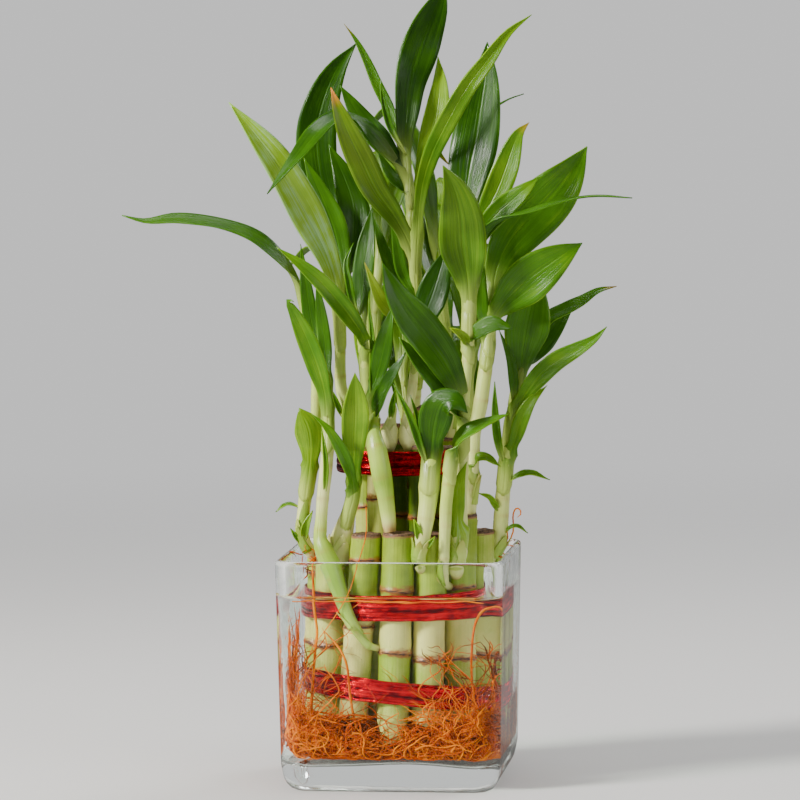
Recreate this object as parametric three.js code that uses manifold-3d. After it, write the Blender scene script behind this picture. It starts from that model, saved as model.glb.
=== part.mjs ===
// Lucky bamboo in a square glass vase: two tiers of cut canes tied with foil ribbon,
// standing in water on their roots, with leafy shoots growing from their heads and joints.
// Millimetres, +Z up. The origin is the middle of the vase's underside.

import * as THREE from "three";
import { mergeVertices } from "three/addons/utils/BufferGeometryUtils.js";
import Module from "manifold-3d";

const wasm = await Module();
wasm.setup();

// Driving dimensions
const vaseSide = 100; // outside, at the rim
const vaseHeight = 102;
const vaseWall = 3;
const vaseFloor = 13; // thickness of the solid glass bottom
const vaseRim = 1.2; // height of the rounding of the rim
const vaseFoot = 14; // height below which the outside rounds in to the underside
const vaseFlare = 1.7; // how much wider the outside is at the rim than at the foot
const vaseHeel = 18; // height below which the inside rounds in to the floor
const cornerShare = 0.16; // corner radius as a share of half the side
const waterLevel = 85.3;
const fit = 0.3; // clearance between pieces that touch
const caneFoot = 32; // all canes stand on the root mass at this height
const outerTier = { radius: 35.6, cane: 7 };
const innerTier = { radius: 22.4, cane: 5.4 };
const foil = 0.6; // thickness of the ribbon
const bladeThickness = 0.9;
const bundleOffset = 1; // the tied bundle stands a little to the right
const bundleTurn = THREE.MathUtils.degToRad(6.73); // and turned in its vase
// The plant's points are listed as they look from the front, against an upright plane through
// the middle of the vase, each with its depth behind that plane (less than 0 is in front of it).
const viewer = { away: 2200, height: 353, middle: 168.8, tilt: THREE.MathUtils.degToRad(0.376) };

const up = new THREE.Vector3(0, 0, 1);
const half = 0.5;

// The place in the part's frame of a listed point [x, depth, z].
function spot([x, depth, z]) {
  const share = (viewer.away + depth) / viewer.away;
  const level = new THREE.Vector2(x, z - viewer.middle);
  level.rotateAround(new THREE.Vector2(), -viewer.tilt);
  const height = viewer.height + (level.y + viewer.middle - viewer.height) * share;
  return new THREE.Vector3(level.x * share, depth, height).applyAxisAngle(up, bundleTurn);
}

// The place in the part's frame of a true point [x, depth, z] of the bundle.
function turned([x, depth, z]) {
  return new THREE.Vector3(x, depth, z).applyAxisAngle(up, bundleTurn);
}

// Closed meshes to solids and back
function solidOf(geometry) {
  const bare = geometry.clone();
  bare.deleteAttribute("normal");
  bare.deleteAttribute("uv");
  const merged = mergeVertices(bare);
  const vertProperties = merged.attributes.position.array;
  const triVerts = new Uint32Array(merged.index.array);
  return new wasm.Manifold(new wasm.Mesh({ numProp: 3, vertProperties, triVerts }));
}

function geometryOf(shape) {
  const mesh = shape.getMesh();
  const geometry = new THREE.BufferGeometry();
  geometry.setAttribute("position", new THREE.BufferAttribute(mesh.vertProperties, 3));
  geometry.setIndex(new THREE.BufferAttribute(mesh.triVerts, 1));
  geometry.computeVertexNormals();
  return geometry;
}

// The biggest body of a cut shape: loose scraps are dropped.
function biggest(shape) {
  const bodies = shape.decompose();
  return bodies.reduce((best, body) => (body.volume() > best.volume() ? body : best));
}

// A closed tube or blade. Each ring of points is set across the run by at(stop).
function sweep(sides, stops, at) {
  const rows = stops.length - 1;
  const geometry = new THREE.CylinderGeometry(1, 1, 1, sides, rows);
  const places = geometry.attributes.position;
  const rings = stops.map(at);
  for (let i = 0; i < places.count; i += 1) {
    const ring = rings[Math.round((places.getY(i) + half) * rows)];
    const across = places.getX(i);
    const through = places.getZ(i);
    const normal = ring.face.clone().addScaledVector(ring.along, -ring.face.dot(ring.along));
    normal.normalize();
    const side = new THREE.Vector3().crossVectors(ring.along, normal);
    const place = ring.middle.clone().addScaledVector(side, across * ring.wide);
    place.addScaledVector(normal, through * ring.thick + Math.abs(across) * ring.rise);
    places.setXYZ(i, place.x, place.y, place.z);
  }
  return geometry;
}

// Splits a blade's under face into the same triangles as its upper face.
function matchFaces(geometry, rows) {
  const index = geometry.index;
  const cornersOfQuad = 6;
  for (const side of [1, 3]) {
    for (let row = 0; row < rows; row += 1) {
      const first = (side * rows + row) * cornersOfQuad;
      const [a, b, d, , c] = [0, 1, 2, 3, 4].map((k) => index.getX(first + k));
      [a, b, c, a, c, d].forEach((corner, k) => index.setX(first + k, corner));
    }
  }
  return geometry;
}

// A round stem through [x, depth, z, radius] points.
const stemSides = 6;

function stem(points, grow = 0, sides = stemSides) {
  const curve = new THREE.CatmullRomCurve3(points.map(spot), false, "centripetal");
  const last = points.length - 1;
  const stops = points.map((point, i) => i / last);
  const face = turned([0, -1, 0]);
  return sweep(sides, stops, (stop) => {
    const radius = points[Math.round(stop * last)][3] + grow;
    const middle = curve.getPoint(stop);
    return { middle, along: curve.getTangent(stop), face, wide: radius, thick: radius, rise: 0 };
  });
}

// A pointed blade: [share of the length, share of the half width], widest at the middle row.
const bladeOutline = [
  [0, 0.3],
  [0.12, 0.42],
  [0.28, 0.8],
  [0.45, 1],
  [0.62, 0.94],
  [0.78, 0.66],
  [0.91, 0.28],
  [1, 0.03],
];
const slimOutline = [
  [0, 0.45],
  [0.3, 0.85],
  [0.55, 1],
  [0.82, 0.6],
  [1, 0.06],
];
const plainOutline = [
  [0, 0.35],
  [0.2, 0.6],
  [0.45, 1],
  [0.75, 0.72],
  [1, 0.03],
];
const bigBlade = 3.5; // half width from which a blade gets the full outline
const baseThickness = 1.5;
const leastBase = 1.1;

function blade({ rib, wide, face = [0, -1, 0.2], fold = 0.18, broad = 0.45, outline }) {
  const rows = outline ?? (wide < bigBlade ? slimOutline : bladeOutline);
  const curve = new THREE.CatmullRomCurve3(rib.map(spot), false, "centripetal");
  const middleStop = 0.45;
  const hint = turned(face).normalize();
  const shape = sweep(4, rows, ([share, width]) => {
    const stretched =
      share < middleStop
        ? (share / middleStop) * broad
        : broad + ((share - middleStop) / (1 - middleStop)) * (1 - broad);
    const reach = Math.max(width * wide, share === 0 ? leastBase : 0);
    const root = 1 - Math.min(share / 0.28, 1);
    const thick = (bladeThickness + (baseThickness - bladeThickness) * root) * half;
    return {
      middle: curve.getPointAt(stretched),
      along: curve.getTangentAt(stretched),
      face: hint,
      wide: reach,
      thick: share === 1 ? thick * half : thick,
      rise: reach * fold,
    };
  });
  return matchFaces(shape, rows.length - 1);
}

// The outline of a square with round corners and half side 1, as points round its edge.
const cornerSteps = 4;

function roundedSquare() {
  const points = [];
  for (let corner = 0; corner < 4; corner += 1) {
    const start = (corner * Math.PI) / 2;
    const middle = new THREE.Vector2(1 - cornerShare, 1 - cornerShare);
    middle.rotateAround(new THREE.Vector2(), start);
    for (let step = 0; step <= cornerSteps; step += 1) {
      const angle = start + (step / cornerSteps) * (Math.PI / 2);
      const x = middle.x + cornerShare * Math.cos(angle);
      const y = middle.y + cornerShare * Math.sin(angle);
      points.push(new THREE.Vector2(x, y));
    }
  }
  return points;
}

// A lathe whose rings are rounded squares: profile points are [half side, height].
function squareLathe(profile) {
  const outline = roundedSquare();
  const points = profile.map(([size, height]) => new THREE.Vector2(size, height));
  const geometry = new THREE.LatheGeometry(points, outline.length);
  const places = geometry.attributes.position;
  for (let i = 0; i < places.count; i += 1) {
    const corner = outline[Math.floor(i / points.length) % outline.length];
    const [size, height] = profile[i % points.length];
    places.setXYZ(i, corner.x * size, corner.y * size, height);
  }
  return geometry;
}

// Vase
const halfSide = vaseSide * half;
const innerHalf = halfSide - vaseWall;
// Half the inside width at a height: the walls draw in a little towards the base.
const innerDraft = 0.0155;

function innerHalfAt(height) {
  return innerHalf - (vaseHeight - height) * innerDraft;
}

// Its profile as [half side, height], from the middle of the underside to that of the floor.
function vase() {
  const foot = halfSide - vaseFlare;
  const heel = innerHalfAt(vaseHeel);
  const rimEdge = 0.8;
  return squareLathe([
    [0, 0],
    [foot - 8.3, 0],
    [foot - 4.8, 0.8],
    [foot - 2.3, 3],
    [foot - 0.8, 7],
    [foot, vaseFoot],
    [halfSide, vaseHeight - vaseRim],
    [halfSide - rimEdge, vaseHeight],
    [innerHalf + rimEdge, vaseHeight],
    [innerHalf, vaseHeight - vaseRim],
    [heel, vaseHeel],
    [heel - 1.4, 14.6],
    [heel - 4.5, vaseFloor + 0.4],
    [0, vaseFloor],
  ]);
}

// Canes
// A cane is listed by its angle round its tier, from the front towards the right, in degrees,
// at its foot and at its head, with its radius, the height of its head and of its joint.
const outerCanes = [
  { foot: -86, head: -86, radius: 6.5, top: 103, joint: 63 },
  { foot: -63.5, head: -62, radius: 6.6, top: 100, joint: 63.5 },
  { foot: -38.5, head: -26, radius: 6.6, top: 113, joint: 72 },
  { foot: -7, head: -2.5, radius: 7, top: 113.7, joint: 61.5 },
  { foot: 17.5, head: 21.5, radius: 6.9, top: 113, joint: 58.5 },
  { foot: 45.5, head: 47, radius: 7, top: 120.6, joint: 57.5 },
  { foot: 71, head: 72, radius: 6.8, top: 112, joint: 58.5 },
  { foot: 96, head: 97, radius: 6.8, top: 98, joint: 58 },
  { foot: 121.5, head: 121.5, radius: 6.7, top: 101, joint: 60 },
  { foot: 147, head: 147, radius: 6.9, top: 98, joint: 64 },
  { foot: 172.5, head: 172.5, radius: 7, top: 102, joint: 59 },
  { foot: 198, head: 198, radius: 6.8, top: 98, joint: 62 },
  { foot: 223.5, head: 223.5, radius: 6.9, top: 101, joint: 60 },
  { foot: 249, head: 249, radius: 6.7, top: 99, joint: 64 },
];
const innerCanes = [
  { foot: -26, head: -26, radius: 5.4, top: 151, joint: 127.5 },
  { foot: 22, head: 22, radius: 5.4, top: 151, joint: 96 },
  { foot: 62, head: 62, radius: 5.2, top: 149, joint: 118 },
  { foot: 100, head: 100, radius: 5.4, top: 152, joint: 124 },
  { foot: 138, head: 138, radius: 5.3, top: 150, joint: 120 },
  { foot: 176, head: 176, radius: 5.4, top: 153, joint: 126 },
  { foot: 214, head: 214, radius: 5.3, top: 150, joint: 121 },
];
// Canes inside the inner tier, by their place in the bundle.
const middleCanes = [
  { x: -1.5, depth: -8, radius: 5, top: 152, joint: 118 },
  { x: 6.5, depth: 6, radius: 5.2, top: 166, joint: 130 },
  { x: -4.2, depth: 4.5, radius: 4.9, top: 158, joint: 126 },
  { x: -14.6, depth: -9.5, radius: 5, top: 150, joint: 122 },
  { x: -14.6, depth: 1.5, radius: 5, top: 152, joint: 119 },
];
const outerCaneSides = 10;
const innerCaneSides = 8;
const jointRise = 0.5; // how far a joint stands out
const jointReach = 1.8; // half the height of a joint
const rimBevel = 0.7;

function onTier(tier, degrees) {
  const angle = THREE.MathUtils.degToRad(degrees);
  return [bundleOffset + tier.radius * Math.sin(angle), -tier.radius * Math.cos(angle)];
}

function cane({ from, to, radius, top, joint }, sides, grow = 0) {
  const girth = radius + grow;
  const points = [
    [0, caneFoot - grow],
    [girth, caneFoot - grow],
    [girth, joint - jointReach - grow],
    [girth + jointRise, joint],
    [girth, joint + jointReach + grow],
    [girth, top - rimBevel],
    [girth - rimBevel, top + grow],
    [0, top + grow],
  ].map(([size, height]) => new THREE.Vector2(size, height));
  const geometry = new THREE.LatheGeometry(points, sides).rotateX(Math.PI / 2);
  const places = geometry.attributes.position;
  for (let i = 0; i < places.count; i += 1) {
    const height = places.getZ(i);
    const share = (height - caneFoot) / (top - caneFoot);
    const x = from[0] + (to[0] - from[0]) * share + places.getX(i);
    const depth = from[1] + (to[1] - from[1]) * share + places.getY(i);
    const place = turned([x, depth, height]);
    places.setXYZ(i, place.x, place.y, place.z);
  }
  return geometry;
}

const caneName = (tier, number) => `cane_${tier}_${String(number).padStart(2, "0")}`;
const canes = [
  ...outerCanes.map((plan, i) => ({
    name: caneName("outer", i + 1),
    sides: outerCaneSides,
    plan: { ...plan, from: onTier(outerTier, plan.foot), to: onTier(outerTier, plan.head) },
  })),
  ...innerCanes.map((plan, i) => ({
    name: caneName("inner", i + 1),
    sides: innerCaneSides,
    plan: { ...plan, from: onTier(innerTier, plan.foot), to: onTier(innerTier, plan.head) },
  })),
  ...middleCanes.map((plan, i) => ({
    name: caneName("middle", i + 1),
    sides: innerCaneSides,
    plan: { ...plan, from: [plan.x, plan.depth], to: [plan.x, plan.depth] },
  })),
];

// Ribbons
const ribbonGap = 0.35; // between the canes and the ribbon that ties them
const outerRibbonRadius = outerTier.radius + outerTier.cane + ribbonGap;
const innerRibbonRadius = innerTier.radius + innerTier.cane + ribbonGap;
const ribbons = [
  { name: "ribbon_lower", radius: outerRibbonRadius, low: 38.7, width: 10.3, slope: -0.1 },
  { name: "ribbon_upper", radius: outerRibbonRadius, low: 75.8, width: 11.2, slope: 0.008 },
  { name: "ribbon_inner", radius: innerRibbonRadius, low: 137.8, width: 10.6, slope: 0 },
];
const ribbonSides = 36;

// A closed band round the bundle, sloped from left to right.
function band({ radius, low, width, slope }, grow = 0) {
  const outside = radius + foil + grow;
  const inside = radius - grow;
  const points = [
    [inside, low - grow],
    [outside, low - grow],
    [outside, low + width + grow],
    [inside, low + width + grow],
    [inside, low - grow],
  ].map(([size, height]) => new THREE.Vector2(size, height));
  const geometry = new THREE.LatheGeometry(points, ribbonSides).rotateX(Math.PI / 2);
  const places = geometry.attributes.position;
  for (let i = 0; i < places.count; i += 1) {
    const height = places.getZ(i) + places.getX(i) * slope;
    const place = turned([places.getX(i) + bundleOffset, places.getY(i), height]);
    places.setXYZ(i, place.x, place.y, place.z);
  }
  return geometry;
}

// Shoots
// Each shoot has a stem of [x, depth, z, radius] points and blades with their midribs. A sheath is a
// second stem that wraps the foot of a blade.
// face is the side that the blade's upper surface looks to, and broad is where it is widest.
const shoots = [
  {
    name: "shoot_far_left",
    stem: [
      [-36, -6, 98, 2.4],
      [-40, -8, 102, 2.8],
      [-42.8, -9, 109, 2.7],
      [-42.2, -9, 120, 2.9],
      [-40.9, -9, 130, 2.9],
      [-39.3, -9, 140, 3.1],
      [-38.4, -8, 150, 3.2],
      [-37, -6, 160, 2.4],
      [-36.7, -6, 172, 2.2],
      [-37, -6, 183, 2.1],
      [-38.5, -7, 195, 2.1],
      [-41, -8, 207, 2],
      [-44.3, -9, 218, 1.6],
    ],
    blades: [
      {
        rib: [
          [-42, -8, 212],
          [-46, -10, 222],
          [-53, -12, 231.5],
          [-63, -14, 239],
          [-79, -17, 245.5],
          [-98, -20, 249],
          [-112, -22, 248],
          [-122.3, -23, 250.6],
        ],
        wide: 6.6,
        face: [0, -0.4, 0.92],
        broad: 0.4,
      },
      {
        rib: [
          [-39.6, -9, 136],
          [-39.2, -12, 147],
          [-40.2, -13.5, 156],
          [-44.2, -13, 165.3],
        ],
        wide: 6.4,
        face: [0, -1, 0],
        fold: -0.3,
        broad: 0.62,
      },
      {
        rib: [
          [-43, -9, 120.5],
          [-49.5, -10, 122.3],
          [-54.7, -11, 119],
        ],
        wide: 1.3,
        face: [0, -0.5, 0.85],
      },
      {
        rib: [
          [-42, -9, 104],
          [-45.3, -11, 107.5],
          [-48.2, -12, 111.6],
        ],
        wide: 1.2,
      },
      {
        rib: [
          [-42.2, -9, 104],
          [-41.5, -13, 112],
          [-38.3, -14, 119.6],
        ],
        wide: 2,
      },
    ],
  },
  {
    name: "shoot_left_dipping",
    stem: [
      [-7, -36, 58, 1.3],
      [-13.5, -39.8, 60, 1.6],
      [-19, -40.3, 67, 2.4],
      [-23.6, -40.1, 76, 2.9],
      [-27.2, -39, 86, 3.7],
      [-30.8, -37, 96, 4.6],
      [-34, -35, 103.5, 3.8],
      [-35, -34, 107, 3],
      [-34.5, -33, 115, 2.6],
      [-33.8, -32, 125, 2.7],
      [-32.7, -31, 135, 2.8],
      [-31.7, -30, 145, 2.8],
      [-31.3, -28, 154, 2.6],
      [-31.6, -26, 165, 2.2],
      [-32, -23, 178, 1.8],
    ],
    blades: [
      {
        rib: [
          [-31.3, -27, 160],
          [-32.7, -29, 171],
          [-36.2, -30, 184],
          [-41, -31, 196.5],
          [-46, -32, 207],
          [-49, -35, 213],
          [-46.5, -38, 212.5],
        ],
        wide: 4.7,
        face: [-0.3, -0.9, 0.3],
      },
      {
        rib: [
          [-31.8, -24, 171],
          [-32.3, -21, 188],
          [-34.3, -19, 206],
          [-36.7, -18, 224],
        ],
        wide: 3,
      },
      {
        rib: [
          [-32, -23, 176],
          [-38, -17, 199],
          [-40.5, -15, 215],
          [-43.5, -14, 238],
        ],
        wide: 3.4,
      },
      {
        rib: [
          [-33.4, -32, 122],
          [-32.4, -36, 140],
          [-34.2, -36, 156],
        ],
        wide: 1.3,
      },
    ],
  },
  {
    name: "shoot_left_bulb",
    stem: [
      [-27, -22, 94, 3.2],
      [-26.3, -23, 98.5, 4.7],
      [-26, -24, 103, 5.1],
      [-25.2, -25, 108, 4.6],
      [-23.7, -26, 113.5, 3.5],
      [-22, -28, 120, 2.8],
      [-20.3, -29, 127, 2.5],
      [-19.7, -30, 136, 2.2],
    ],
    blades: [
      {
        rib: [
          [-20.3, -29, 127],
          [-20.2, -31, 140],
          [-19.8, -33, 154],
          [-19.3, -35, 167],
          [-19.5, -37, 181],
        ],
        wide: 6,
        face: [0.1, -1, 0.1],
        broad: 0.62,
      },
      {
        rib: [
          [-20.6, -29, 125],
          [-21.4, -36, 136],
          [-26, -38, 147],
          [-31.5, -38, 156],
          [-38.8, -37, 162.8],
        ],
        wide: 2.8,
        face: [0.2, -1, 0.2],
      },
    ],
  },
  {
    name: "shoot_left_inner",
    sheath: [
      [-4, -35, 110.3, 2.8],
      [-4.9, -35.5, 118, 3.4],
      [-5.9, -36, 125.5, 3.7],
      [-7, -36, 132, 4.3],
      [-8.4, -36, 139.5, 4.5],
      [-9.7, -35, 146.5, 4.3],
      [-10.8, -33, 152.5, 3.4],
      [-11, -30, 158, 2.2],
      [-10.3, -29.5, 164, 1.4],
    ],
    stem: [
      [-11.5, -21, 146, 2.4],
      [-11.8, -22, 155, 2.8],
      [-13, -23, 165, 2.7],
      [-14.5, -23, 178, 2.4],
      [-15.5, -22, 190, 2.2],
      [-16.5, -20, 200, 2],
      [-17, -18, 208, 1.6],
    ],
    blades: [
      {
        rib: [
          [-16.8, -19, 203],
          [-16.5, -17, 216],
          [-15.2, -15, 230],
          [-13.5, -13, 243],
          [-12, -12, 254],
        ],
        wide: 4.8,
        face: [-0.2, -0.9, 0.3],
      },
      {
        rib: [
          [-15.4, -22, 187],
          [-15.5, -30, 195.5],
          [-20.5, -36, 204],
          [-27.5, -40, 213],
          [-35, -42, 221.5],
          [-43.5, -43, 229],
          [-54.2, -43, 236.6],
        ],
        wide: 4.2,
        face: [0, -1, 0.3],
        fold: 0.3,
      },
      {
        rib: [
          [-12, -22, 157],
          [-11.9, -26, 170],
          [-11.7, -27, 184],
          [-11.9, -26, 197],
          [-13.2, -24, 210],
          [-13, -23, 217],
        ],
        wide: 1.4,
      },
      {
        rib: [
          [-13.4, -23, 168],
          [-9.7, -29, 180],
          [-7, -31, 191],
          [-4.6, -32, 202],
          [-2.4, -32, 211],
        ],
        wide: 4.6,
        face: [-0.3, -0.8, 0.4],
      },
      {
        rib: [
          [-12.2, -22, 157],
          [-10.5, -30, 164],
          [-6, -35, 174],
          [-1.2, -38, 183],
          [3, -39, 190],
        ],
        wide: 3.8,
        face: [-0.4, -0.7, 0.5],
      },
      {
        rib: [
          [-16.5, -20, 201],
          [-20.2, -21, 212],
          [-22.4, -21, 222],
          [-23.4, -20, 230],
          [-20, -19, 238.6],
        ],
        wide: 1.7,
      },
    ],
  },
  {
    name: "shoot_left_tall",
    stem: [
      [-16, -9.5, 147, 2.6],
      [-18.8, -11, 154, 2.9],
      [-22.7, -13, 163.5, 2.7],
      [-25.6, -14, 175, 2.6],
      [-26, -14, 188, 2.4],
      [-26.2, -13, 200, 2.4],
      [-27, -12, 212, 2.2],
      [-27.4, -11, 222, 1.6],
    ],
    blades: [
      {
        rib: [
          [-26.6, -13, 206],
          [-28, -15, 220],
          [-31.5, -18, 232],
          [-37, -21, 244],
          [-44.5, -24, 258],
          [-53.5, -26, 273],
          [-64, -27, 287],
          [-75, -26, 300.5],
        ],
        wide: 8.3,
        face: [0.15, -0.85, 0.5],
        broad: 0.5,
      },
      {
        rib: [
          [-27, -12, 212],
          [-25.8, -9, 228],
          [-28.5, -6, 243],
          [-34, -4, 258],
          [-42, -2, 276],
        ],
        wide: 6,
        face: [0.2, -0.9, 0.3],
      },
      {
        rib: [
          [-27.2, -11, 218],
          [-20.5, -3, 238],
          [-20.5, 2, 255],
          [-25, 6, 269],
          [-31, 9, 282],
        ],
        wide: 7.4,
        face: [0.2, -0.9, 0.2],
      },
      {
        rib: [
          [-27.3, -11, 215],
          [-26.5, 4, 234],
          [-31, 12, 254],
          [-35.5, 15, 271],
          [-36.5, 17, 288],
          [-33, 18, 303],
          [-27.5, 18, 315],
          [-18.8, 18, 326.4],
        ],
        wide: 9,
        face: [0.1, -0.95, 0.1],
        broad: 0.6,
      },
      {
        rib: [
          [-24.5, -13.5, 160],
          [-27.6, -17, 167.5],
          [-30.2, -18, 174],
        ],
        wide: 1.3,
      },
    ],
  },
  {
    name: "shoot_bud_left",
    stem: [
      [-5.4, -20.5, 146.5, 2.2],
      [-5, -21.5, 151.5, 3.6],
      [-4.6, -22, 155.5, 3.4],
      [-3.2, -22, 161, 2.2],
      [-1.4, -21.5, 166.5, 0.9],
    ],
    blades: [
      {
        rib: [
          [-4, -22, 158],
          [-3, -25, 166],
          [-1.5, -27, 174],
        ],
        wide: 1.6,
      },
    ],
  },
  {
    name: "shoot_bud_right",
    stem: [
      [5.5, -21, 146.5, 2],
      [4.2, -22, 151.5, 3.1],
      [3.7, -22.5, 156, 3],
      [4.4, -22, 163, 2.1],
      [6, -21, 175, 2],
      [7.4, -20, 188, 1.9],
      [9, -18, 200, 1.5],
    ],
    blades: [
      {
        rib: [
          [8.4, -19, 196],
          [12.5, -20, 209],
          [17, -20, 222],
          [21, -19, 236],
        ],
        wide: 7,
        face: [-0.1, -0.9, 0.2],
      },
      {
        rib: [
          [8.8, -18.5, 199],
          [13, -12, 214],
          [16.5, -8, 228],
          [17.2, -6, 236],
        ],
        wide: 1.6,
      },
    ],
  },
  {
    name: "shoot_centre",
    stem: [
      [6.3, 5, 161, 2.9],
      [7, 2, 172, 2.9],
      [8, -3, 185, 2.8],
      [8.3, -7, 200, 2.7],
      [7.8, -10, 215, 2.6],
      [6.8, -12, 228, 2.4],
      [6.2, -13, 240, 2.1],
      [5.5, -12, 252, 1.9],
      [4, -9, 266, 1.6],
      [3, -6, 278, 1.3],
    ],
    blades: [
      {
        rib: [
          [6.7, -12, 229],
          [4, -16, 239],
          [-2, -20, 250],
          [-10.5, -25, 262],
          [-16.3, -29, 274],
          [-22, -32, 286],
          [-26.5, -33, 297],
          [-30, -33, 307],
        ],
        wide: 6.4,
        face: [0, -1, 0.25],
        broad: 0.55,
      },
      {
        rib: [
          [6.9, -12, 227],
          [7.8, -16, 240],
          [8.6, -17, 252],
          [10.2, -17, 264],
          [13.6, -19, 276],
          [18.6, -22, 287],
          [24.5, -24, 298],
          [30.5, -25, 308],
          [38.5, -25, 318.5],
          [48, -24, 331],
          [58.5, -22, 339],
        ],
        wide: 4.4,
        face: [0.25, -0.95, 0],
        broad: 0.55,
      },
      {
        rib: [
          [4.2, -9, 264],
          [-5, -8, 278],
          [-16, -11, 290],
          [-26, -18, 294],
          [-35, -27, 288],
          [-44, -33, 277.5],
          [-52, -35, 268],
          [-58.2, -36, 260],
        ],
        wide: 5.4,
        face: [-0.3, -0.6, 0.75],
        broad: 0.5,
      },
      {
        rib: [
          [3.8, -8, 268],
          [-8, -3, 283],
          [-17, 0, 294],
          [-26, 2, 308],
        ],
        wide: 5.2,
        face: [0, -0.9, 0.4],
      },
      {
        rib: [
          [3.6, -8, 270],
          [2.3, -2, 284],
          [3.2, 1, 296],
          [4.7, 3, 309],
          [8, 4, 321],
          [11.7, 5, 332],
          [16, 5, 342],
          [20.6, 5, 353],
        ],
        wide: 8.7,
        face: [-0.3, -0.95, 0.1],
        broad: 0.66,
      },
      {
        rib: [
          [3.2, -7, 275],
          [-1, 2, 288],
          [-4.5, 6, 298],
          [-9.5, 8, 308],
          [-14, 9, 318.5],
          [-19, 9, 328],
          [-24.2, 9, 335],
        ],
        wide: 2.5,
      },
      {
        rib: [
          [3.2, -7, 277],
          [-3.5, -5, 289],
          [-6.5, -4, 299],
          [-8.3, -4, 310.5],
        ],
        wide: 1.7,
      },
      {
        rib: [
          [4.6, -10, 259],
          [-3, -6, 268],
          [-9.5, -4, 279],
        ],
        wide: 2.4,
      },
      {
        rib: [
          [5.6, -12, 251],
          [10.6, -3, 268],
          [14.3, 3, 284],
          [17, 7, 298],
          [18, 8, 309],
          [17.2, 8, 320.5],
        ],
        wide: 5.8,
        face: [0, -1, 0.1],
        broad: 0.55,
      },
      {
        rib: [
          [8, -8.5, 207],
          [-1.5, -9, 223],
          [-6, -9, 234],
          [-9.5, -8, 244],
          [-12.5, -6, 252],
        ],
        wide: 2.8,
      },
      {
        rib: [
          [7.9, -9.5, 212],
          [1.5, -13, 226],
          [-1, -15, 238],
          [-3.7, -15, 248.5],
        ],
        wide: 2.9,
      },
      {
        rib: [
          [8.3, -7, 199],
          [-1, -18, 206],
          [-7, -23, 212],
          [-11, -26, 220],
          [-15.2, -28, 229.8],
        ],
        wide: 3.2,
      },
    ],
  },
  {
    name: "shoot_front_left",
    stem: [
      [11, -36, 92, 2.2],
      [8.6, -41.6, 98, 2.9],
      [9.6, -42.3, 104, 3.2],
      [11.4, -42, 112, 3.5],
      [12.8, -41, 122, 4],
      [13.4, -40, 131, 4.6],
      [14, -39, 138, 4.2],
      [14.5, -38, 145, 3.6],
      [15.2, -38, 151, 3],
    ],
    blades: [
      {
        rib: [
          [14.4, -38, 142],
          [14.8, -42, 151],
          [16, -46, 160],
          [19, -50, 167.5],
          [24.5, -52, 168.5],
          [30.5, -52, 163],
        ],
        wide: 7.4,
        face: [0, -0.9, 0.3],
        broad: 0.5,
        fold: 0.1,
      },
      {
        rib: [
          [9.8, -42.5, 104],
          [8.6, -45, 110],
          [6.6, -46, 115.8],
        ],
        wide: 1.8,
      },
      {
        rib: [
          [10, -42.5, 102],
          [13.8, -45.5, 105],
          [16, -46, 108],
        ],
        wide: 1.4,
      },
      {
        rib: [
          [13.8, -39.5, 135],
          [9.2, -43, 149],
          [4.6, -44, 162],
          [-2.6, -44, 176],
        ],
        wide: 1.8,
      },
      {
        rib: [
          [14, -39, 138],
          [9.8, -41, 150],
          [8.4, -41, 160],
          [5, -41, 171],
        ],
        wide: 1.3,
      },
    ],
  },
  {
    name: "shoot_front_middle",
    stem: [
      [23.5, -28.5, 85.5, 1.5],
      [20.6, -34.5, 86.5, 2],
      [19.8, -38.8, 92, 2.3],
      [20, -40.4, 100, 2.5],
      [20.4, -42.5, 110, 2.6],
      [20.8, -44, 120, 2.7],
      [21.8, -44, 130, 2.8],
      [22.9, -43, 140, 2.8],
      [24.4, -42, 148, 2.5],
    ],
    blades: [
      {
        rib: [
          [23.8, -42, 144],
          [26.6, -44, 151],
          [31.5, -46, 155],
          [38.5, -47, 158.8],
          [48.6, -47, 162.6],
        ],
        wide: 4,
        face: [-0.3, -0.6, 0.7],
        broad: 0.35,
      },
    ],
  },
  {
    name: "shoot_front_right",
    stem: [
      [26, -28, 90, 2.8],
      [25.2, -33, 95, 4],
      [26, -35, 101, 4.4],
      [26.8, -35.5, 110, 3.6],
      [27, -35.5, 120, 3.3],
      [27.1, -35.5, 129, 3.3],
      [28, -35, 138, 2.8],
      [28.5, -34.5, 148, 2.5],
      [28.4, -34, 158, 2.4],
      [28.9, -34, 169, 2.3],
      [30, -33, 181, 2.3],
      [30.6, -31, 193, 2.6],
      [30.9, -29, 205, 2.8],
      [31, -27, 217, 2.7],
      [30.5, -24, 229, 2.3],
      [30.3, -21, 241, 1.8],
      [31, -18, 252, 1.4],
    ],
    blades: [
      {
        rib: [
          [26.6, -36, 108],
          [25.9, -40, 121],
          [26.8, -41, 132],
          [30.2, -40, 141.5],
        ],
        wide: 3.4,
        face: [-0.2, -1, 0.1],
        fold: -0.2,
      },
      {
        rib: [
          [31, -28, 212],
          [30.2, -32, 224],
          [28.2, -36, 238],
          [27.4, -40, 250],
          [24.6, -44, 262],
          [19.4, -48, 272.6],
        ],
        wide: 10.4,
        face: [0, -1, 0.15],
        broad: 0.45,
      },
      {
        rib: [
          [30.4, -22, 238],
          [29.3, -19, 254],
          [31, -17, 270],
          [33.6, -15, 283],
          [35.8, -14, 297],
          [38.2, -13, 313],
          [38.9, -12, 327],
        ],
        wide: 10.6,
        face: [-0.2, -1, 0.1],
        broad: 0.5,
      },
      {
        rib: [
          [30.4, -23, 233],
          [37, -23, 249],
          [43.4, -23, 262],
          [47.2, -23, 272],
          [50.3, -23, 281],
          [53, -24, 287],
          [57.4, -25, 291.6],
        ],
        wide: 5.8,
        face: [0.1, -0.95, 0.2],
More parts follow.
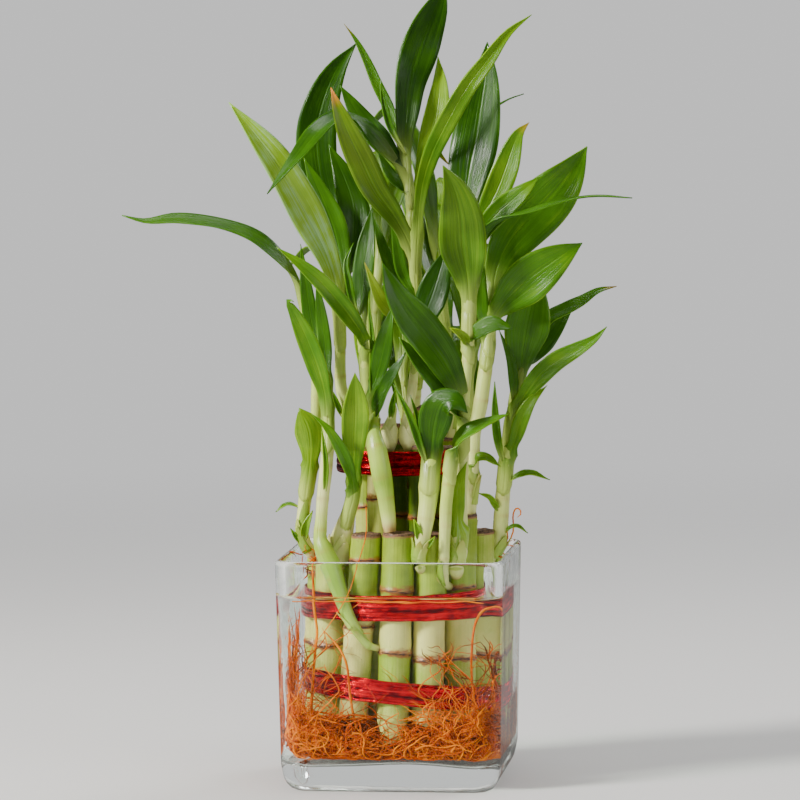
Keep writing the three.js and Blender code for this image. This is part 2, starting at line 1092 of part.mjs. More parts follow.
        broad: 0.55,
      },
      {
        rib: [
          [30.6, -25, 227],
          [36, -29, 241.5],
          [42, -32, 250],
          [48.5, -34, 256],
          [55.5, -35, 262],
          [61.8, -35, 267.6],
        ],
        wide: 4.9,
        face: [0.1, -0.95, 0.3],
        broad: 0.6,
      },
      {
        rib: [
          [31, -27, 219],
          [36.5, -32, 238],
          [41.5, -36, 245.5],
          [47, -39, 249],
          [56, -42, 251.5],
          [70, -44, 256.2],
          [85, -45, 258.8],
          [103, -46, 258.3],
        ],
        wide: 5,
        face: [0, -0.1, 1],
        broad: 0.4,
      },
      {
        rib: [
          [31, -18, 251],
          [35, -8, 275],
          [41, -5, 296],
          [48, -4, 301.5],
          [55, -4, 304.2],
        ],
        wide: 2.4,
        face: [0, -0.1, 1],
      },
      {
        rib: [
          [28.4, -34, 160],
          [26.5, -39, 172],
          [20.5, -45, 185],
          [13, -50, 195.5],
          [5.5, -54, 205],
          [-1.5, -57, 216],
          [-7.4, -59, 229.6],
        ],
        wide: 8.8,
        face: [0.1, -0.9, 0.4],
        broad: 0.52,
      },
      {
        rib: [
          [28.5, -34, 156],
          [24, -38, 167],
          [16.5, -43, 177.5],
          [8.5, -47, 186.5],
          [0, -50, 196.6],
        ],
        wide: 5.2,
        face: [0.2, -0.85, 0.5],
      },
      {
        rib: [
          [30.6, -31, 192],
          [28.5, -36, 197],
          [22.3, -38, 201],
        ],
        wide: 2.1,
      },
      {
        rib: [
          [30.7, -30, 195],
          [36.5, -35, 200.5],
          [42.5, -37, 202.3],
          [50.4, -38, 200.3],
        ],
        wide: 4.2,
        face: [0, -0.9, 0.5],
      },
    ],
  },
  {
    name: "shoot_right_tall",
    stem: [
      [31.2, -24, 114, 1.9],
      [31.8, -24, 119.5, 2.4],
      [32.4, -24, 127, 2.6],
      [32.8, -24, 136, 2.6],
      [33.3, -23, 146, 2.5],
      [33.7, -22, 154, 2.6],
      [34.6, -21, 159.5, 3],
      [36, -20.5, 166, 3.2],
      [37.6, -19.5, 178, 3.1],
      [39.2, -18, 190, 2.9],
      [40, -16, 200, 2.6],
      [40.6, -14, 210, 2.3],
      [41, -12, 220, 1.7],
    ],
    blades: [
      {
        rib: [
          [32.9, -24, 139],
          [34.8, -27, 143],
          [38.6, -28, 143.2],
          [45, -29, 139.3],
        ],
        wide: 2.4,
        face: [0.1, -0.7, 0.7],
      },
      {
        rib: [
          [40.2, -15.5, 203],
          [45.3, -20, 210.5],
          [51.8, -24, 217.5],
          [59.6, -27, 224.3],
          [69, -29, 231],
          [81, -30, 238.4],
        ],
        wide: 9.9,
        face: [0.2, -0.85, 0.45],
        broad: 0.48,
      },
      {
        rib: [
          [40.7, -13.5, 212],
          [42.3, -11, 224.5],
          [47.5, -9, 237],
          [55.2, -8, 247],
          [65, -8, 257],
          [74.2, -9, 268],
          [83, -10, 281],
        ],
        wide: 12,
        face: [0.3, -0.9, 0.2],
        broad: 0.55,
      },
      {
        rib: [
          [39.6, -17, 195],
          [37, -17.5, 207],
          [36.6, -17.5, 218],
          [37.6, -17, 230],
        ],
        wide: 2.8,
      },
    ],
  },
  {
    name: "shoot_far_right",
    stem: [
      [38, 1, 91, 2.8],
      [41, -3, 96, 3.2],
      [42.6, -5, 101.5, 3.4],
      [44.6, -6, 107, 3.6],
      [45.3, -6, 115, 3.4],
      [45.9, -6, 125, 3.2],
      [47, -6, 135, 3.1],
      [48.3, -6, 147, 3],
      [50, -6, 160, 2.8],
      [52, -6, 172, 2.7],
      [54, -6, 184, 2.2],
    ],
    blades: [
      {
        rib: [
          [53, -6, 178],
          [54.3, -9, 188],
          [56, -11, 199],
          [58.4, -12, 210],
          [62.5, -12, 224],
        ],
        wide: 9.8,
        face: [0.1, -1, 0.1],
        broad: 0.5,
      },
      {
        rib: [
          [53.7, -6, 182],
          [60, -1, 190],
          [66, 2, 199],
          [72, 3, 207],
          [79, 3, 214],
        ],
        wide: 5.6,
        face: [0.2, -0.9, 0.3],
      },
      {
        rib: [
          [53.6, -6, 181],
          [60, -4, 195],
          [66, -6, 205],
          [74, -7, 209.4],
          [81, -7, 213],
          [88, -6, 217.3],
          [96.2, -5, 219.3],
        ],
        wide: 3.5,
        face: [-0.2, -0.8, 0.6],
      },
      {
        rib: [
          [50, -6, 159],
          [54, -11, 168.5],
          [60.5, -15, 177.5],
          [69, -17, 185.5],
          [79, -18, 191.3],
          [86.5, -18, 196],
          [92, -18, 201.4],
        ],
        wide: 4.5,
        face: [0.2, -0.9, 0.4],
        broad: 0.45,
      },
      {
        rib: [
          [48, -6, 142],
          [51.3, -11, 151],
          [54.2, -13, 160],
          [58.4, -14, 168],
          [65.8, -14, 175.5],
        ],
        wide: 3.4,
      },
      {
        rib: [
          [47.3, -6, 137],
          [43.9, -11, 150],
          [42.6, -11, 163],
          [42.4, -10, 177],
        ],
        wide: 2,
      },
      {
        rib: [
          [50.8, -6, 162],
          [51, -11, 174],
          [49.3, -12, 187],
          [44.3, -12, 200],
        ],
        wide: 2.2,
      },
      {
        rib: [
          [45.5, -6, 118],
          [42.6, -9.5, 122],
          [40.2, -10.5, 125.5],
          [35.3, -11, 127.3],
        ],
        wide: 1.5,
      },
      {
        rib: [
          [46.7, -6, 131],
          [52.5, -9, 134.8],
          [58.6, -10, 136],
          [67, -10, 133.3],
        ],
        wide: 1.9,
        face: [0, -0.7, 0.7],
      },
      {
        rib: [
          [45.5, -7, 108],
          [49.7, -9.5, 112],
          [53, -10.5, 112.5],
          [57.2, -11, 109.5],
        ],
        wide: 1.2,
        face: [0, -0.7, 0.7],
      },
    ],
  },
];

// The shoots at the back follow one rule, with seeded draws: a stem from the cane's head that
// leans to lean degrees round the bundle, and blades that arch away from it.
const backShoots = [
  { name: "shoot_back_01", on: "cane_outer_09", seed: 781, rise: 96, lean: 181, away: 6, leaves: 4 },
  { name: "shoot_back_02", on: "cane_outer_10", seed: 199, rise: 122, lean: 191, away: 23, leaves: 5 },
  { name: "shoot_back_03", on: "cane_outer_11", seed: 1945, rise: 90, lean: 198, away: 18, leaves: 4 },
  { name: "shoot_back_04", on: "cane_outer_12", seed: 1169, rise: 128, lean: 196, away: 21, leaves: 5 },
  { name: "shoot_back_05", on: "cane_inner_04", seed: 199, rise: 84, lean: 206, away: 13, leaves: 4 },
  { name: "shoot_back_06", on: "cane_inner_07", seed: 1460, rise: 90, lean: 160, away: 10, leaves: 4 },
];

// Draws between 0 and 1 from a seed: each state is the last one multiplied, within a prime.
const drawFactor = 16807;
const drawPrime = 2147483647;

function draws(seed) {
  let state = seed;
  return () => {
    state = (state * drawFactor) % drawPrime;
    return state / drawPrime;
  };
}

// A true point of the bundle as it looks from the front: spot() turns it back.
function listed(x, depth, z) {
  const share = (viewer.away + depth) / viewer.away;
  const seen = new THREE.Vector2(x / share, viewer.height + (z - viewer.height) / share);
  seen.y -= viewer.middle;
  seen.rotateAround(new THREE.Vector2(), viewer.tilt);
  return [seen.x, depth, seen.y + viewer.middle];
}

const backStem = { rows: 4, sunk: 5, foot: 2.6, taper: 1.2 }; // sunk: start below the cane's head
// leastLength and drawnLength, and so on: a blade's least value and what a draw adds at most
const backBlade = {
  firstShare: 0.5, // of the stem's height
  lastShare: 0.98,
  leastSwing: 8, // degrees to each side of the stem's lean
  drawnSwing: 30,
  leastLength: 52,
  drawnLength: 26,
  leastWide: 5.5,
  drawnWide: 2.5,
};
// A back blade's arch: the share of its reach and the share of its climb.
const backArch = [
  [0, 0],
  [0.28, 0.34],
  [0.62, 0.5],
  [1, 0.42],
];

function backShoot({ name, on, seed, rise, lean, away, leaves }) {
  const draw = draws(seed);
  const { to, top } = canes.find((each) => each.name === on).plan;
  const angle = THREE.MathUtils.degToRad(lean);
  const heading = [Math.sin(angle), -Math.cos(angle)];
  const along = (share) => {
    const out = away * share * share;
    const level = top - backStem.sunk + rise * share;
    return [to[0] + heading[0] * out, to[1] + heading[1] * out, level];
  };
  const points = [];
  for (let row = 0; row <= backStem.rows; row += 1) {
    const share = row / backStem.rows;
    points.push([...listed(...along(share)), backStem.foot - backStem.taper * share]);
  }
  const blades = [];
  for (let leaf = 0; leaf < leaves; leaf += 1) {
    const { firstShare, lastShare } = backBlade;
    const share = firstShare + ((lastShare - firstShare) * leaf) / (leaves - 1);
    const [x, depth, z] = along(share);
    const side = leaf % 2 ? 1 : -1;
    const swing = side * (backBlade.leastSwing + backBlade.drawnSwing * draw());
    const turn = angle + THREE.MathUtils.degToRad(swing);
    const length = backBlade.leastLength + backBlade.drawnLength * draw();
    const climb = 0.35 + 0.4 * share * draw() + 0.3 * share; // higher blades stand steeper
    const out = [Math.sin(turn), -Math.cos(turn)];
    const reach = length * (1.15 - climb * 0.6);
    const rib = backArch.map(([outShare, upShare]) => {
      const flat = outShare * reach;
      const place = [x + out[0] * flat, depth + out[1] * flat, z + upShare * length * climb * 2];
      return listed(...place);
    });
    const face = [-0.6 * out[0], -0.6 * out[1], 1];
    const wide = backBlade.leastWide + backBlade.drawnWide * draw();
    blades.push({ rib, wide, face, broad: 0.45, outline: plainOutline });
  }
  return { name, stem: points, blades };
}

// Roots
const rootTop = caneFoot - fit;
const rootSize = 43.2;
const rootSeed = 7;
const strandSides = 3;
const strandCount = 26;
const strandRadius = 0.8;
const strandDrift = 0.06; // of the way round the mass
const strandDrop = 5; // height lost at each of its points
const tuft = { place: 38, radius: 6.2, height: 8.5 };
const longRootSides = 5;
// Long roots that climb in front of the canes, as [x, depth, z, radius] points.
const longRoots = [
  [
    [-38, -33, 20, 0.9],
    [-39, -35.5, 31, 0.9],
    [-38, -36.5, 42, 0.9],
    [-37.4, -37, 51, 0.9],
    [-36.8, -37, 60, 0.8],
    [-35.6, -37, 66, 0.8],
    [-37, -37, 72, 0.8],
    [-37.8, -37, 80, 0.8],
    [-38, -36, 88, 0.8],
    [-38.4, -35, 95, 0.7],
  ],
  [
    [-17, -35, 17, 0.9],
    [-19.8, -40, 26, 0.8],
    [-21.4, -41.5, 35, 0.8],
    [-22.2, -41, 44, 0.7],
    [-22.6, -41, 50, 0.7],
    [-24.6, -41, 56, 0.7],
    [-28, -40, 61, 0.6],
    [-33, -39, 66, 0.6],
  ],
  [
    [31, -40, 20, 0.9],
    [32.2, -42, 29, 0.8],
    [34.2, -42, 35, 0.8],
    [32.6, -42, 43, 0.8],
    [32.4, -42, 54, 0.8],
    [33.2, -41, 65, 0.8],
    [34.7, -38, 71.5, 0.8],
    [37.4, -35, 75.5, 0.7],
    [41, -32, 78.5, 0.7],
  ],
];

function longRoot(points, grow = 0) {
  return solidOf(stem(points, grow, longRootSides));
}

// A place on the side of the root mass, by its share round the vase and its height.
function rootSide(share, height, out) {
  const outline = roundedSquare();
  const place = (((share % 1) + 1) % 1) * outline.length;
  const first = outline[Math.floor(place) % outline.length];
  const next = outline[(Math.floor(place) + 1) % outline.length];
  const corner = first.clone().lerp(next, place % 1).multiplyScalar(rootSize + out);
  return new THREE.Vector3(corner.x, corner.y, height);
}

function rootMass() {
  const floor = vaseFloor + 0.4 + fit;
  const pad = squareLathe([
    [0, floor],
    [rootSize - 7, floor],
    [rootSize - 1, floor + 4],
    [rootSize, 22],
    [rootSize - 0.5, 28],
    [rootSize - 3, rootTop],
    [0, rootTop],
  ]);
  let mass = solidOf(pad);
  // Tufts fill the vase's corners, outside the tied canes.
  for (const [sideX, sideY] of [
    [-1, -1],
    [1, -1],
    [1, 1],
    [-1, 1],
  ]) {
    const lump = new THREE.SphereGeometry(tuft.radius, 8, 6).rotateX(Math.PI / 2);
    lump.scale(1, 1, tuft.height / tuft.radius);
    lump.translate(sideX * tuft.place, sideY * tuft.place, rootTop - 1);
    mass = mass.add(solidOf(lump));
  }
  const draw = draws(rootSeed);
  for (let strand = 0; strand < strandCount; strand += 1) {
    const start = (strand + draw()) / strandCount;
    const drift = (draw() - half) * strandDrift;
    const high = 26 + 5 * draw(); // height of its upper end
    const points = [0, 1, 2].map((step) => {
      const out = step === 1 ? 0.8 : -0.9; // its ends are sunk into the mass
      return rootSide(start + drift * step, high - strandDrop * step, out);
    });
    const curve = new THREE.CatmullRomCurve3(points, false, "centripetal");
    const run = sweep(strandSides, [0, half, 1], (stop) => ({
      middle: curve.getPoint(stop),
      along: curve.getTangent(stop),
      face: new THREE.Vector3(0.3, 0.2, 0),
      wide: strandRadius,
      thick: strandRadius,
      rise: 0,
    }));
    mass = mass.add(solidOf(run));
  }
  for (const points of longRoots) mass = mass.add(longRoot(points));
  return mass;
}

// Water, above the root mass, with one plain round hole for the tied bundle.
const waterBottom = 41;

function water(dipping) {
  const low = innerHalfAt(waterBottom) - fit;
  const high = innerHalfAt(waterLevel) - fit;
  const block = squareLathe([
    [0, waterBottom],
    [low, waterBottom],
    [high, waterLevel],
    [0, waterLevel],
  ]);
  const holeRadius = outerRibbonRadius + foil + fit;
  const holeMiddle = (waterBottom + waterLevel) * half;
  const hole = new THREE.CylinderGeometry(holeRadius, holeRadius, vaseHeight, 40);
  const centre = turned([bundleOffset, 0, holeMiddle]);
  hole.rotateX(Math.PI / 2).translate(centre.x, centre.y, centre.z);
  let body = solidOf(block).subtract(solidOf(hole));
  body = body.subtract(solidOf(stem(dipping, fit)));
  for (const points of longRoots) body = body.subtract(longRoot(points, fit));
  return biggest(body);
}

// Assembly
const colours = {
  glass: [0xdfe8e4, 0.05, 0],
  water: [0xcfd8c8, 0.05, 0],
  cane: [0xb9c072, 0.45, 0],
  innerCane: [0x7f9140, 0.5, 0],
  shoot: [0x6fa32f, 0.4, 0],
  root: [0xc8702a, 0.7, 0],
  foil: [0xb5101c, 0.25, 0.6],
};

function finish([color, roughness, metalness]) {
  return new THREE.MeshStandardMaterial({ color, roughness, metalness });
}

const plant = new THREE.Group();

function place(name, geometry, colour) {
  const mesh = new THREE.Mesh(geometry, finish(colour));
  mesh.name = name;
  plant.add(mesh);
}

place("vase", vase(), colours.glass);
place("root_mass", geometryOf(rootMass()), colours.root);

let wrapped = null; // canes and ribbons grown by the clearance, which shoots stay clear of
for (const { name, plan, sides } of canes) {
  place(name, cane(plan, sides), name.startsWith("cane_outer") ? colours.cane : colours.innerCane);
  const grown = solidOf(cane(plan, sides, fit));
  wrapped = wrapped ? wrapped.add(grown) : grown;
}
for (const ribbon of ribbons) {
  place(ribbon.name, band(ribbon), colours.foil);
  wrapped = wrapped.add(solidOf(band(ribbon, fit)));
}

for (const plan of [...shoots, ...backShoots.map(backShoot)]) {
  let body = solidOf(stem(plan.stem));
  if (plan.sheath) body = body.add(solidOf(stem(plan.sheath)));
  for (const each of plan.blades) body = body.add(solidOf(blade(each)));
  place(plan.name, geometryOf(biggest(body.subtract(wrapped))), colours.shoot);
}

const dipping = shoots.find((plan) => plan.name === "shoot_left_dipping").stem;
place("water", geometryOf(water(dipping)), colours.water);

export default plant;
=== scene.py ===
import math
import random

import bpy
from mathutils import Matrix, Vector, noise


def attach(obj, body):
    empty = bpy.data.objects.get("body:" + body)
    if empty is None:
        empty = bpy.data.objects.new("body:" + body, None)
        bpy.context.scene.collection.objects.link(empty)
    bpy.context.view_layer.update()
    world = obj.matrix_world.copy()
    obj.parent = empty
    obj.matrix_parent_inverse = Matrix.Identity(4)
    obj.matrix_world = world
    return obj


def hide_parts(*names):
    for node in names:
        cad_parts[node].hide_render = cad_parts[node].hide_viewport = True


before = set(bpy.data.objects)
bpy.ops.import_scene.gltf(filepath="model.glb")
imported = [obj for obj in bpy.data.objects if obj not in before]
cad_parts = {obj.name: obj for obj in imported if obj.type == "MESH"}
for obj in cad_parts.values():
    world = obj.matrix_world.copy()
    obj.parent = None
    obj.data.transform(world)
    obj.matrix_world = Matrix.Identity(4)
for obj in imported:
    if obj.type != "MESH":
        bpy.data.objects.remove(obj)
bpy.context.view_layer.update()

mm = 0.001

# The tied bundle is turned in its vase. The plant's points are listed in millimetres as they look
# from the front, against an upright plane through the vase's middle, each with its depth behind it.
bundle = {"turn": 6.73, "offset": 1.0}
viewer = {"away": 2200, "height": 353, "middle": 168.8, "aside": 0.45, "tilt": 0.376, "lens": 224.3,
          "sensor": 36, "seesTo": 20}
bundleTurn = Matrix.Rotation(math.radians(bundle["turn"]), 3, "Z")
viewTilt = math.radians(viewer["tilt"])
tiltAcross, tiltUp = math.cos(viewTilt), math.sin(viewTilt)


def turned(x, depth, z):
    return bundleTurn @ Vector((x, depth, z)) * mm


def spot(point):    # the true place of a listed point
    x, depth, z = point[:3]
    share = (viewer["away"] + depth) / viewer["away"]
    level = z - viewer["middle"]
    across = x * tiltAcross + level * tiltUp
    height = level * tiltAcross - x * tiltUp + viewer["middle"]
    return turned(across * share, depth, viewer["height"] + (height - viewer["height"]) * share)


def listed(x, depth, z):    # a true point of the bundle as it looks from the front
    share = (viewer["away"] + depth) / viewer["away"]
    level = viewer["height"] + (z - viewer["height"]) / share - viewer["middle"]
    across = x / share
    return (across * tiltAcross - level * tiltUp, depth,
            across * tiltUp + level * tiltAcross + viewer["middle"])


def smooth(low, high, value):
    share = min(max((value - low) / (high - low), 0), 1)
    return share * share * (3 - 2 * share)


def noiseAt(x, y, z):    # a smooth value from -1 to 1 that changes from place to place
    return noise.noise(Vector((x, y, z)))


def draws(seed):    # the same seeded draws as in the part's source
    factor, limit = 16807, 2147483647
    state = seed
    while True:
        state = state * factor % limit
        yield state / limit


class Run:
    # a smooth line through points, read by the share of its length
    reach = 0.02    # how far it looks to each side for its heading

    def __init__(self, points, stepsEach=10):
        places = [2 * points[0] - points[1], *points, 2 * points[-1] - points[-2]]
        self.places = [points[0]]
        self.knots = [0]
        for before, start, end, after in zip(places, places[1:], places[2:], places[3:]):
            for step in range(1, stepsEach + 1):
                self.places.append(self.between(before, start, end, after, step / stepsEach))
            self.knots.append(len(self.places) - 1)
        self.lengths = [0]
        for one, two in zip(self.places, self.places[1:]):
            self.lengths.append(self.lengths[-1] + (two - one).length)

    def between(self, before, start, end, after, share):
        first = max((start - before).length ** 0.5, 1e-5)
        middle = max((end - start).length ** 0.5, 1e-5)
        last = max((after - end).length ** 0.5, 1e-5)
        leave = (start - before) / first - (end - before) / (first + middle) + (end - start) / middle
        arrive = (end - start) / middle - (after - start) / (middle + last) + (after - end) / last
        leave, arrive = leave * middle, arrive * middle
        return (start + leave * share + (3 * (end - start) - 2 * leave - arrive) * share ** 2
                + (2 * (start - end) + leave + arrive) * share ** 3)

    def slot(self, share):
        wanted = share * self.lengths[-1]
        low, high = 0, len(self.lengths) - 1
        while high - low > 1:
            middle = (low + high) // 2
            low, high = (middle, high) if self.lengths[middle] <= wanted else (low, middle)
        step = self.lengths[high] - self.lengths[low]
        return low, high, (wanted - self.lengths[low]) / max(step, 1e-9)

    def at(self, share):
        low, high, part = self.slot(share)
        return self.places[low].lerp(self.places[high], part)

    def along(self, share):
        ahead, behind = min(share + self.reach, 1), max(share - self.reach, 0)
        return (self.at(ahead) - self.at(behind)).normalized()

    def knotShares(self):
        return [self.lengths[knot] / self.lengths[-1] for knot in self.knots]


def spread(shares, values, share):    # values between listed shares
    for index in range(1, len(shares)):
        if share <= shares[index] or index == len(shares) - 1:
            part = (share - shares[index - 1]) / max(shares[index] - shares[index - 1], 1e-9)
            return values[index - 1] + (values[index] - values[index - 1]) * min(max(part, 0), 1)


def pick(*pieces):
    bpy.ops.object.select_all(action="DESELECT")
    for piece in pieces:
        piece.select_set(True)
    bpy.context.view_layer.objects.active = pieces[0]


def join(name, pieces):
    pick(*pieces)
    if len(pieces) > 1:
        bpy.ops.object.join()
    piece = bpy.context.object
    piece.name = piece.data.name = name
    return piece


def thicken(piece, thickness):    # gives a sheet a wall, as much to either side
    pick(piece)
    modifier = piece.modifiers.new("Solidify", "SOLIDIFY")
    modifier.thickness = thickness
    modifier.offset = 0
    bpy.ops.object.modifier_apply(modifier=modifier.name)


def dress(piece, material):
    piece.data.materials.clear()
    piece.data.materials.append(material)
    return piece


def tidyMesh(piece, turnOut=True):    # joins a rolled grid's seams and points its faces out
    pick(piece)
    bpy.ops.object.mode_set(mode="EDIT")
    bpy.ops.mesh.select_all(action="SELECT")
    bpy.ops.mesh.remove_doubles(threshold=0.000002)
    if turnOut:
        bpy.ops.mesh.normals_make_consistent(inside=False)
    bpy.ops.object.mode_set(mode="OBJECT")
    bpy.ops.object.shade_smooth()


def rolledGrid(name, across, along, place, tones=None):
    # a flat grid whose points move to place(u, v); tones(u, v) fills its tone attribute
    bpy.ops.mesh.primitive_grid_add(x_subdivisions=across, y_subdivisions=along, size=1)
    piece = bpy.context.object
    piece.name = name
    mesh = piece.data
    shares = [(point.co.x + 0.5, point.co.y + 0.5) for point in mesh.vertices]
    if tones:
        attribute = mesh.color_attributes.new(name="tone", type="FLOAT_COLOR", domain="POINT")
        for item, (u, v) in zip(attribute.data, shares):
            item.color = (*tones(u, v), 1)
    for point, (u, v) in zip(mesh.vertices, shares):
        point.co = place(u, v)
    bpy.ops.object.shade_smooth()
    return piece


def finished(piece, slotName, *nodes):
    if nodes:
        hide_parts(*nodes)
    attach(piece, "root")


class Wire:
    # one output of a node, so that shader maths reads as maths
    def __init__(self, finish, socket):
        self.finish, self.socket = finish, socket

    def maths(self, operation, *values):
        return self.finish.node("ShaderNodeMath", {"operation": operation}, values)

    def __add__(self, other):
        return self.maths("ADD", self, other)

    def __sub__(self, other):
        return self.maths("SUBTRACT", self, other)

    def __mul__(self, other):
        return self.maths("MULTIPLY", self, other)

    def __rsub__(self, other):
        return self.maths("SUBTRACT", other, self)

    __radd__ = __add__
    __rmul__ = __mul__

    def away(self, middle):    # distance from a value
        return self.maths("ABSOLUTE", self - middle)

    def over(self, limit):
        return self.maths("GREATER_THAN", self, limit)

    def most(self, other):
        return self.maths("MAXIMUM", self, other)

    def step(self, low, high, bottom=0, top=1):
        settings = {"interpolation_type": "SMOOTHSTEP", "clamp": True}
        return self.finish.node("ShaderNodeMapRange", settings, [self, low, high, bottom, top])


class Finish:
    # a material, or a sky, and the nodes that make it
    def __init__(self, name, owner=None):
        self.material = owner or bpy.data.materials.new(name)
        self.material.use_nodes = True
        self.tree = self.material.node_tree
        self.tree.nodes.clear()

    def node(self, kind, settings=None, inputs=(), output=0):
        made = self.tree.nodes.new(kind)
        for key, value in (settings or {}).items():
            if key == "stops":
                self.setStops(made.color_ramp, value)
            else:
                setattr(made, key, value)
        pairs = inputs.items() if isinstance(inputs, dict) else enumerate(inputs)
        for key, value in pairs:
            if isinstance(value, Wire):
                self.tree.links.new(value.socket, made.inputs[key])
            else:
                made.inputs[key].default_value = value
        return Wire(self, made.outputs[output])

    def setStops(self, ramp, stops):
        while len(ramp.elements) < len(stops):
            ramp.elements.new(1)
        for element, (place, colour) in zip(ramp.elements, stops):
            element.position = place
            element.color = (*colour, 1)

    def place(self):
        return self.node("ShaderNodeTexCoord", output="Object")

    def map(self):    # the piece's own map: across or round, and along
        flat = self.node("ShaderNodeUVMap", {"uv_map": "UVMap"})
        return [self.node("ShaderNodeSeparateXYZ", inputs=[flat], output=i) for i in (0, 1)]

    def tone(self):
        colour = self.node("ShaderNodeAttribute", {"attribute_name": "tone"}, output="Color")
        return [self.node("ShaderNodeSeparateColor", inputs=[colour], output=i) for i in (0, 1, 2)]

    def vector(self, x, y):
        return self.node("ShaderNodeCombineXYZ", inputs=[x, y])

    def grain(self, where, scale, detail=3, roughness=0.55, distortion=0.0):
        inputs = {"Vector": where, "Scale": scale, "Detail": detail, "Roughness": roughness,
                  "Distortion": distortion}
        return self.node("ShaderNodeTexNoise", inputs=inputs)

    def ramp(self, value, stops):
        return self.node("ShaderNodeValToRGB", {"stops": stops}, [value])

    def blend(self, share, one, two):    # a mix of two colours
        one, two = [(*colour, 1) if isinstance(colour, tuple) else colour for colour in (one, two)]
        return self.node("ShaderNodeMix", {"data_type": "RGBA"}, {0: share, 6: one, 7: two}, output=2)

    def bump(self, height, depth, strength=1.0):
        inputs = {"Strength": strength, "Distance": depth, "Height": height}
        return self.node("ShaderNodeBump", inputs=inputs)

    def skin(self, **sockets):
        named = {key.replace("_", " "): value for key, value in sockets.items()}
        return self.node("ShaderNodeBsdfPrincipled", inputs=named)

    def done(self, shader, kind="Material"):
        output = self.tree.nodes.new("ShaderNodeOutput" + kind)
        self.tree.links.new(shader.socket, output.inputs["Surface"])
        return self.material


# Materials
leafLook = {"deep": (0.012, 0.058, 0.0), "mid": (0.075, 0.23, 0.002), "light": (0.30, 0.52, 0.01),
            "pale": (0.38, 0.64, 0.22), "base": (0.58, 0.72, 0.14), "yellow": (0.62, 0.58, 0.03),
            "tip": (0.75, 0.25, 0.03), "glow": (0.25, 0.5, 0.0, 1), "glowShare": 0.18, "rough": 0.23,
            "veins": 46, "stripes": 15, "fine": 150, "patches": 70, "veinDepth": 0.0003}


def makeLeafGreen():
    finish = Finish("leafGreen")
    u, v = finish.map()
    light, yellow, tip = finish.tone()
    rib = u.away(0.5).step(0.0, 0.045, 1, 0)
    edge = u.away(0.5).step(0.455, 0.5)
    calm = v.step(0.78, 0.95, 1, 0)    # veins fade where the blade narrows to its tip
    veins = finish.grain(finish.vector(u * leafLook["veins"], v * 1.6), 1.0, 2)
    stripes = finish.grain(finish.vector(u * leafLook["stripes"], v * 1.2), 1.0, 2)
    fine = finish.grain(finish.vector(u * leafLook["fine"], v * 3), 1.0, 1)
    patches = finish.grain(finish.place(), leafLook["patches"], 3)
    level = light + (veins - 0.5) * calm * 0.5 + (stripes - 0.5) * 0.5 + (patches - 0.5) * 0.5
    level = level + rib * 0.1 + edge * 0.16
    # the palest stop, pale, is a painted sheen: the lightest leaves turn whitish green as if they shone
    stops = [(0.08, leafLook["deep"]), (0.5, leafLook["mid"]), (0.88, leafLook["light"]),
             (1.0, leafLook["pale"])]
    green = finish.ramp(level, stops)
    pale = finish.blend(v.step(0.04, 0.38, 0.92, 0), green, leafLook["base"])
    streaks = (stripes * 0.6 + veins * 0.4).step(0.38, 0.6, 0.35, 1)    # green lines in a yellow blade
    golden = finish.blend(yellow * (v.step(0.1, 0.9) * 0.5 + 0.5) * streaks, pale, leafLook["yellow"])
    tipped = finish.blend(tip * v.step(0.9, 0.985), golden, leafLook["tip"])
    height = (veins * 0.7 + fine * 0.2 + rib * -0.7) * calm
    normal = finish.bump(height, leafLook["veinDepth"], 0.8)
    rough = fine * 0.1 + leafLook["rough"]
    skin = finish.skin(Base_Color=tipped, Roughness=rough, Normal=normal, Coat_Weight=0.12,
                       Coat_Roughness=0.15, Specular_IOR_Level=0.42)
    glow = finish.node("ShaderNodeBsdfTranslucent", inputs=[leafLook["glow"]])
    return finish.done(finish.node("ShaderNodeMixShader", inputs=[leafLook["glowShare"], skin, glow]))


stemLook = {"white": (0.86, 0.86, 0.36), "pale": (0.52, 0.68, 0.10), "green": (0.17, 0.36, 0.0),
            "scar": (0.42, 0.20, 0.06), "fibres": 40, "patches": 90, "rough": 0.28}


def makeStemGreen():
    finish = Finish("stemGreen")
    u, v = finish.map()
    green, scar = finish.tone()[:2]
    fibres = finish.grain(finish.vector(u * stemLook["fibres"], v * 3), 1.0, 3)
    patches = finish.grain(finish.place(), stemLook["patches"], 3)
    level = green + (fibres - 0.5) * 0.3 + (patches - 0.5) * 0.3
    stops = [(0.0, stemLook["white"]), (0.45, stemLook["pale"]), (1.0, stemLook["green"])]
    skin = finish.blend(scar, finish.ramp(level, stops), stemLook["scar"])
    normal = finish.bump(fibres, 0.0003, 0.7)
    principled = finish.skin(Base_Color=skin, Roughness=fibres * 0.15 + stemLook["rough"], Normal=normal,
                             Coat_Weight=0.2, Coat_Roughness=0.2, Subsurface_Weight=0.08,
                             Subsurface_Radius=(0.6, 1.0, 0.3), Subsurface_Scale=0.002)
    return finish.done(principled)


caneLook = {"pale": (0.82, 0.74, 0.24), "green": (0.33, 0.45, 0.02), "deep": (0.05, 0.11, 0.0),
            "ring": (0.36, 0.12, 0.025), "line": (0.045, 0.014, 0.006), "cut": (0.05, 0.022, 0.012),
            "rim": (0.30, 0.13, 0.06), "wood": (0.26, 0.14, 0.07), "speck": (0.30, 0.20, 0.08),
            "fibres": 60, "blotches": 75, "specks": 900, "grain": 1400, "rough": 0.36}


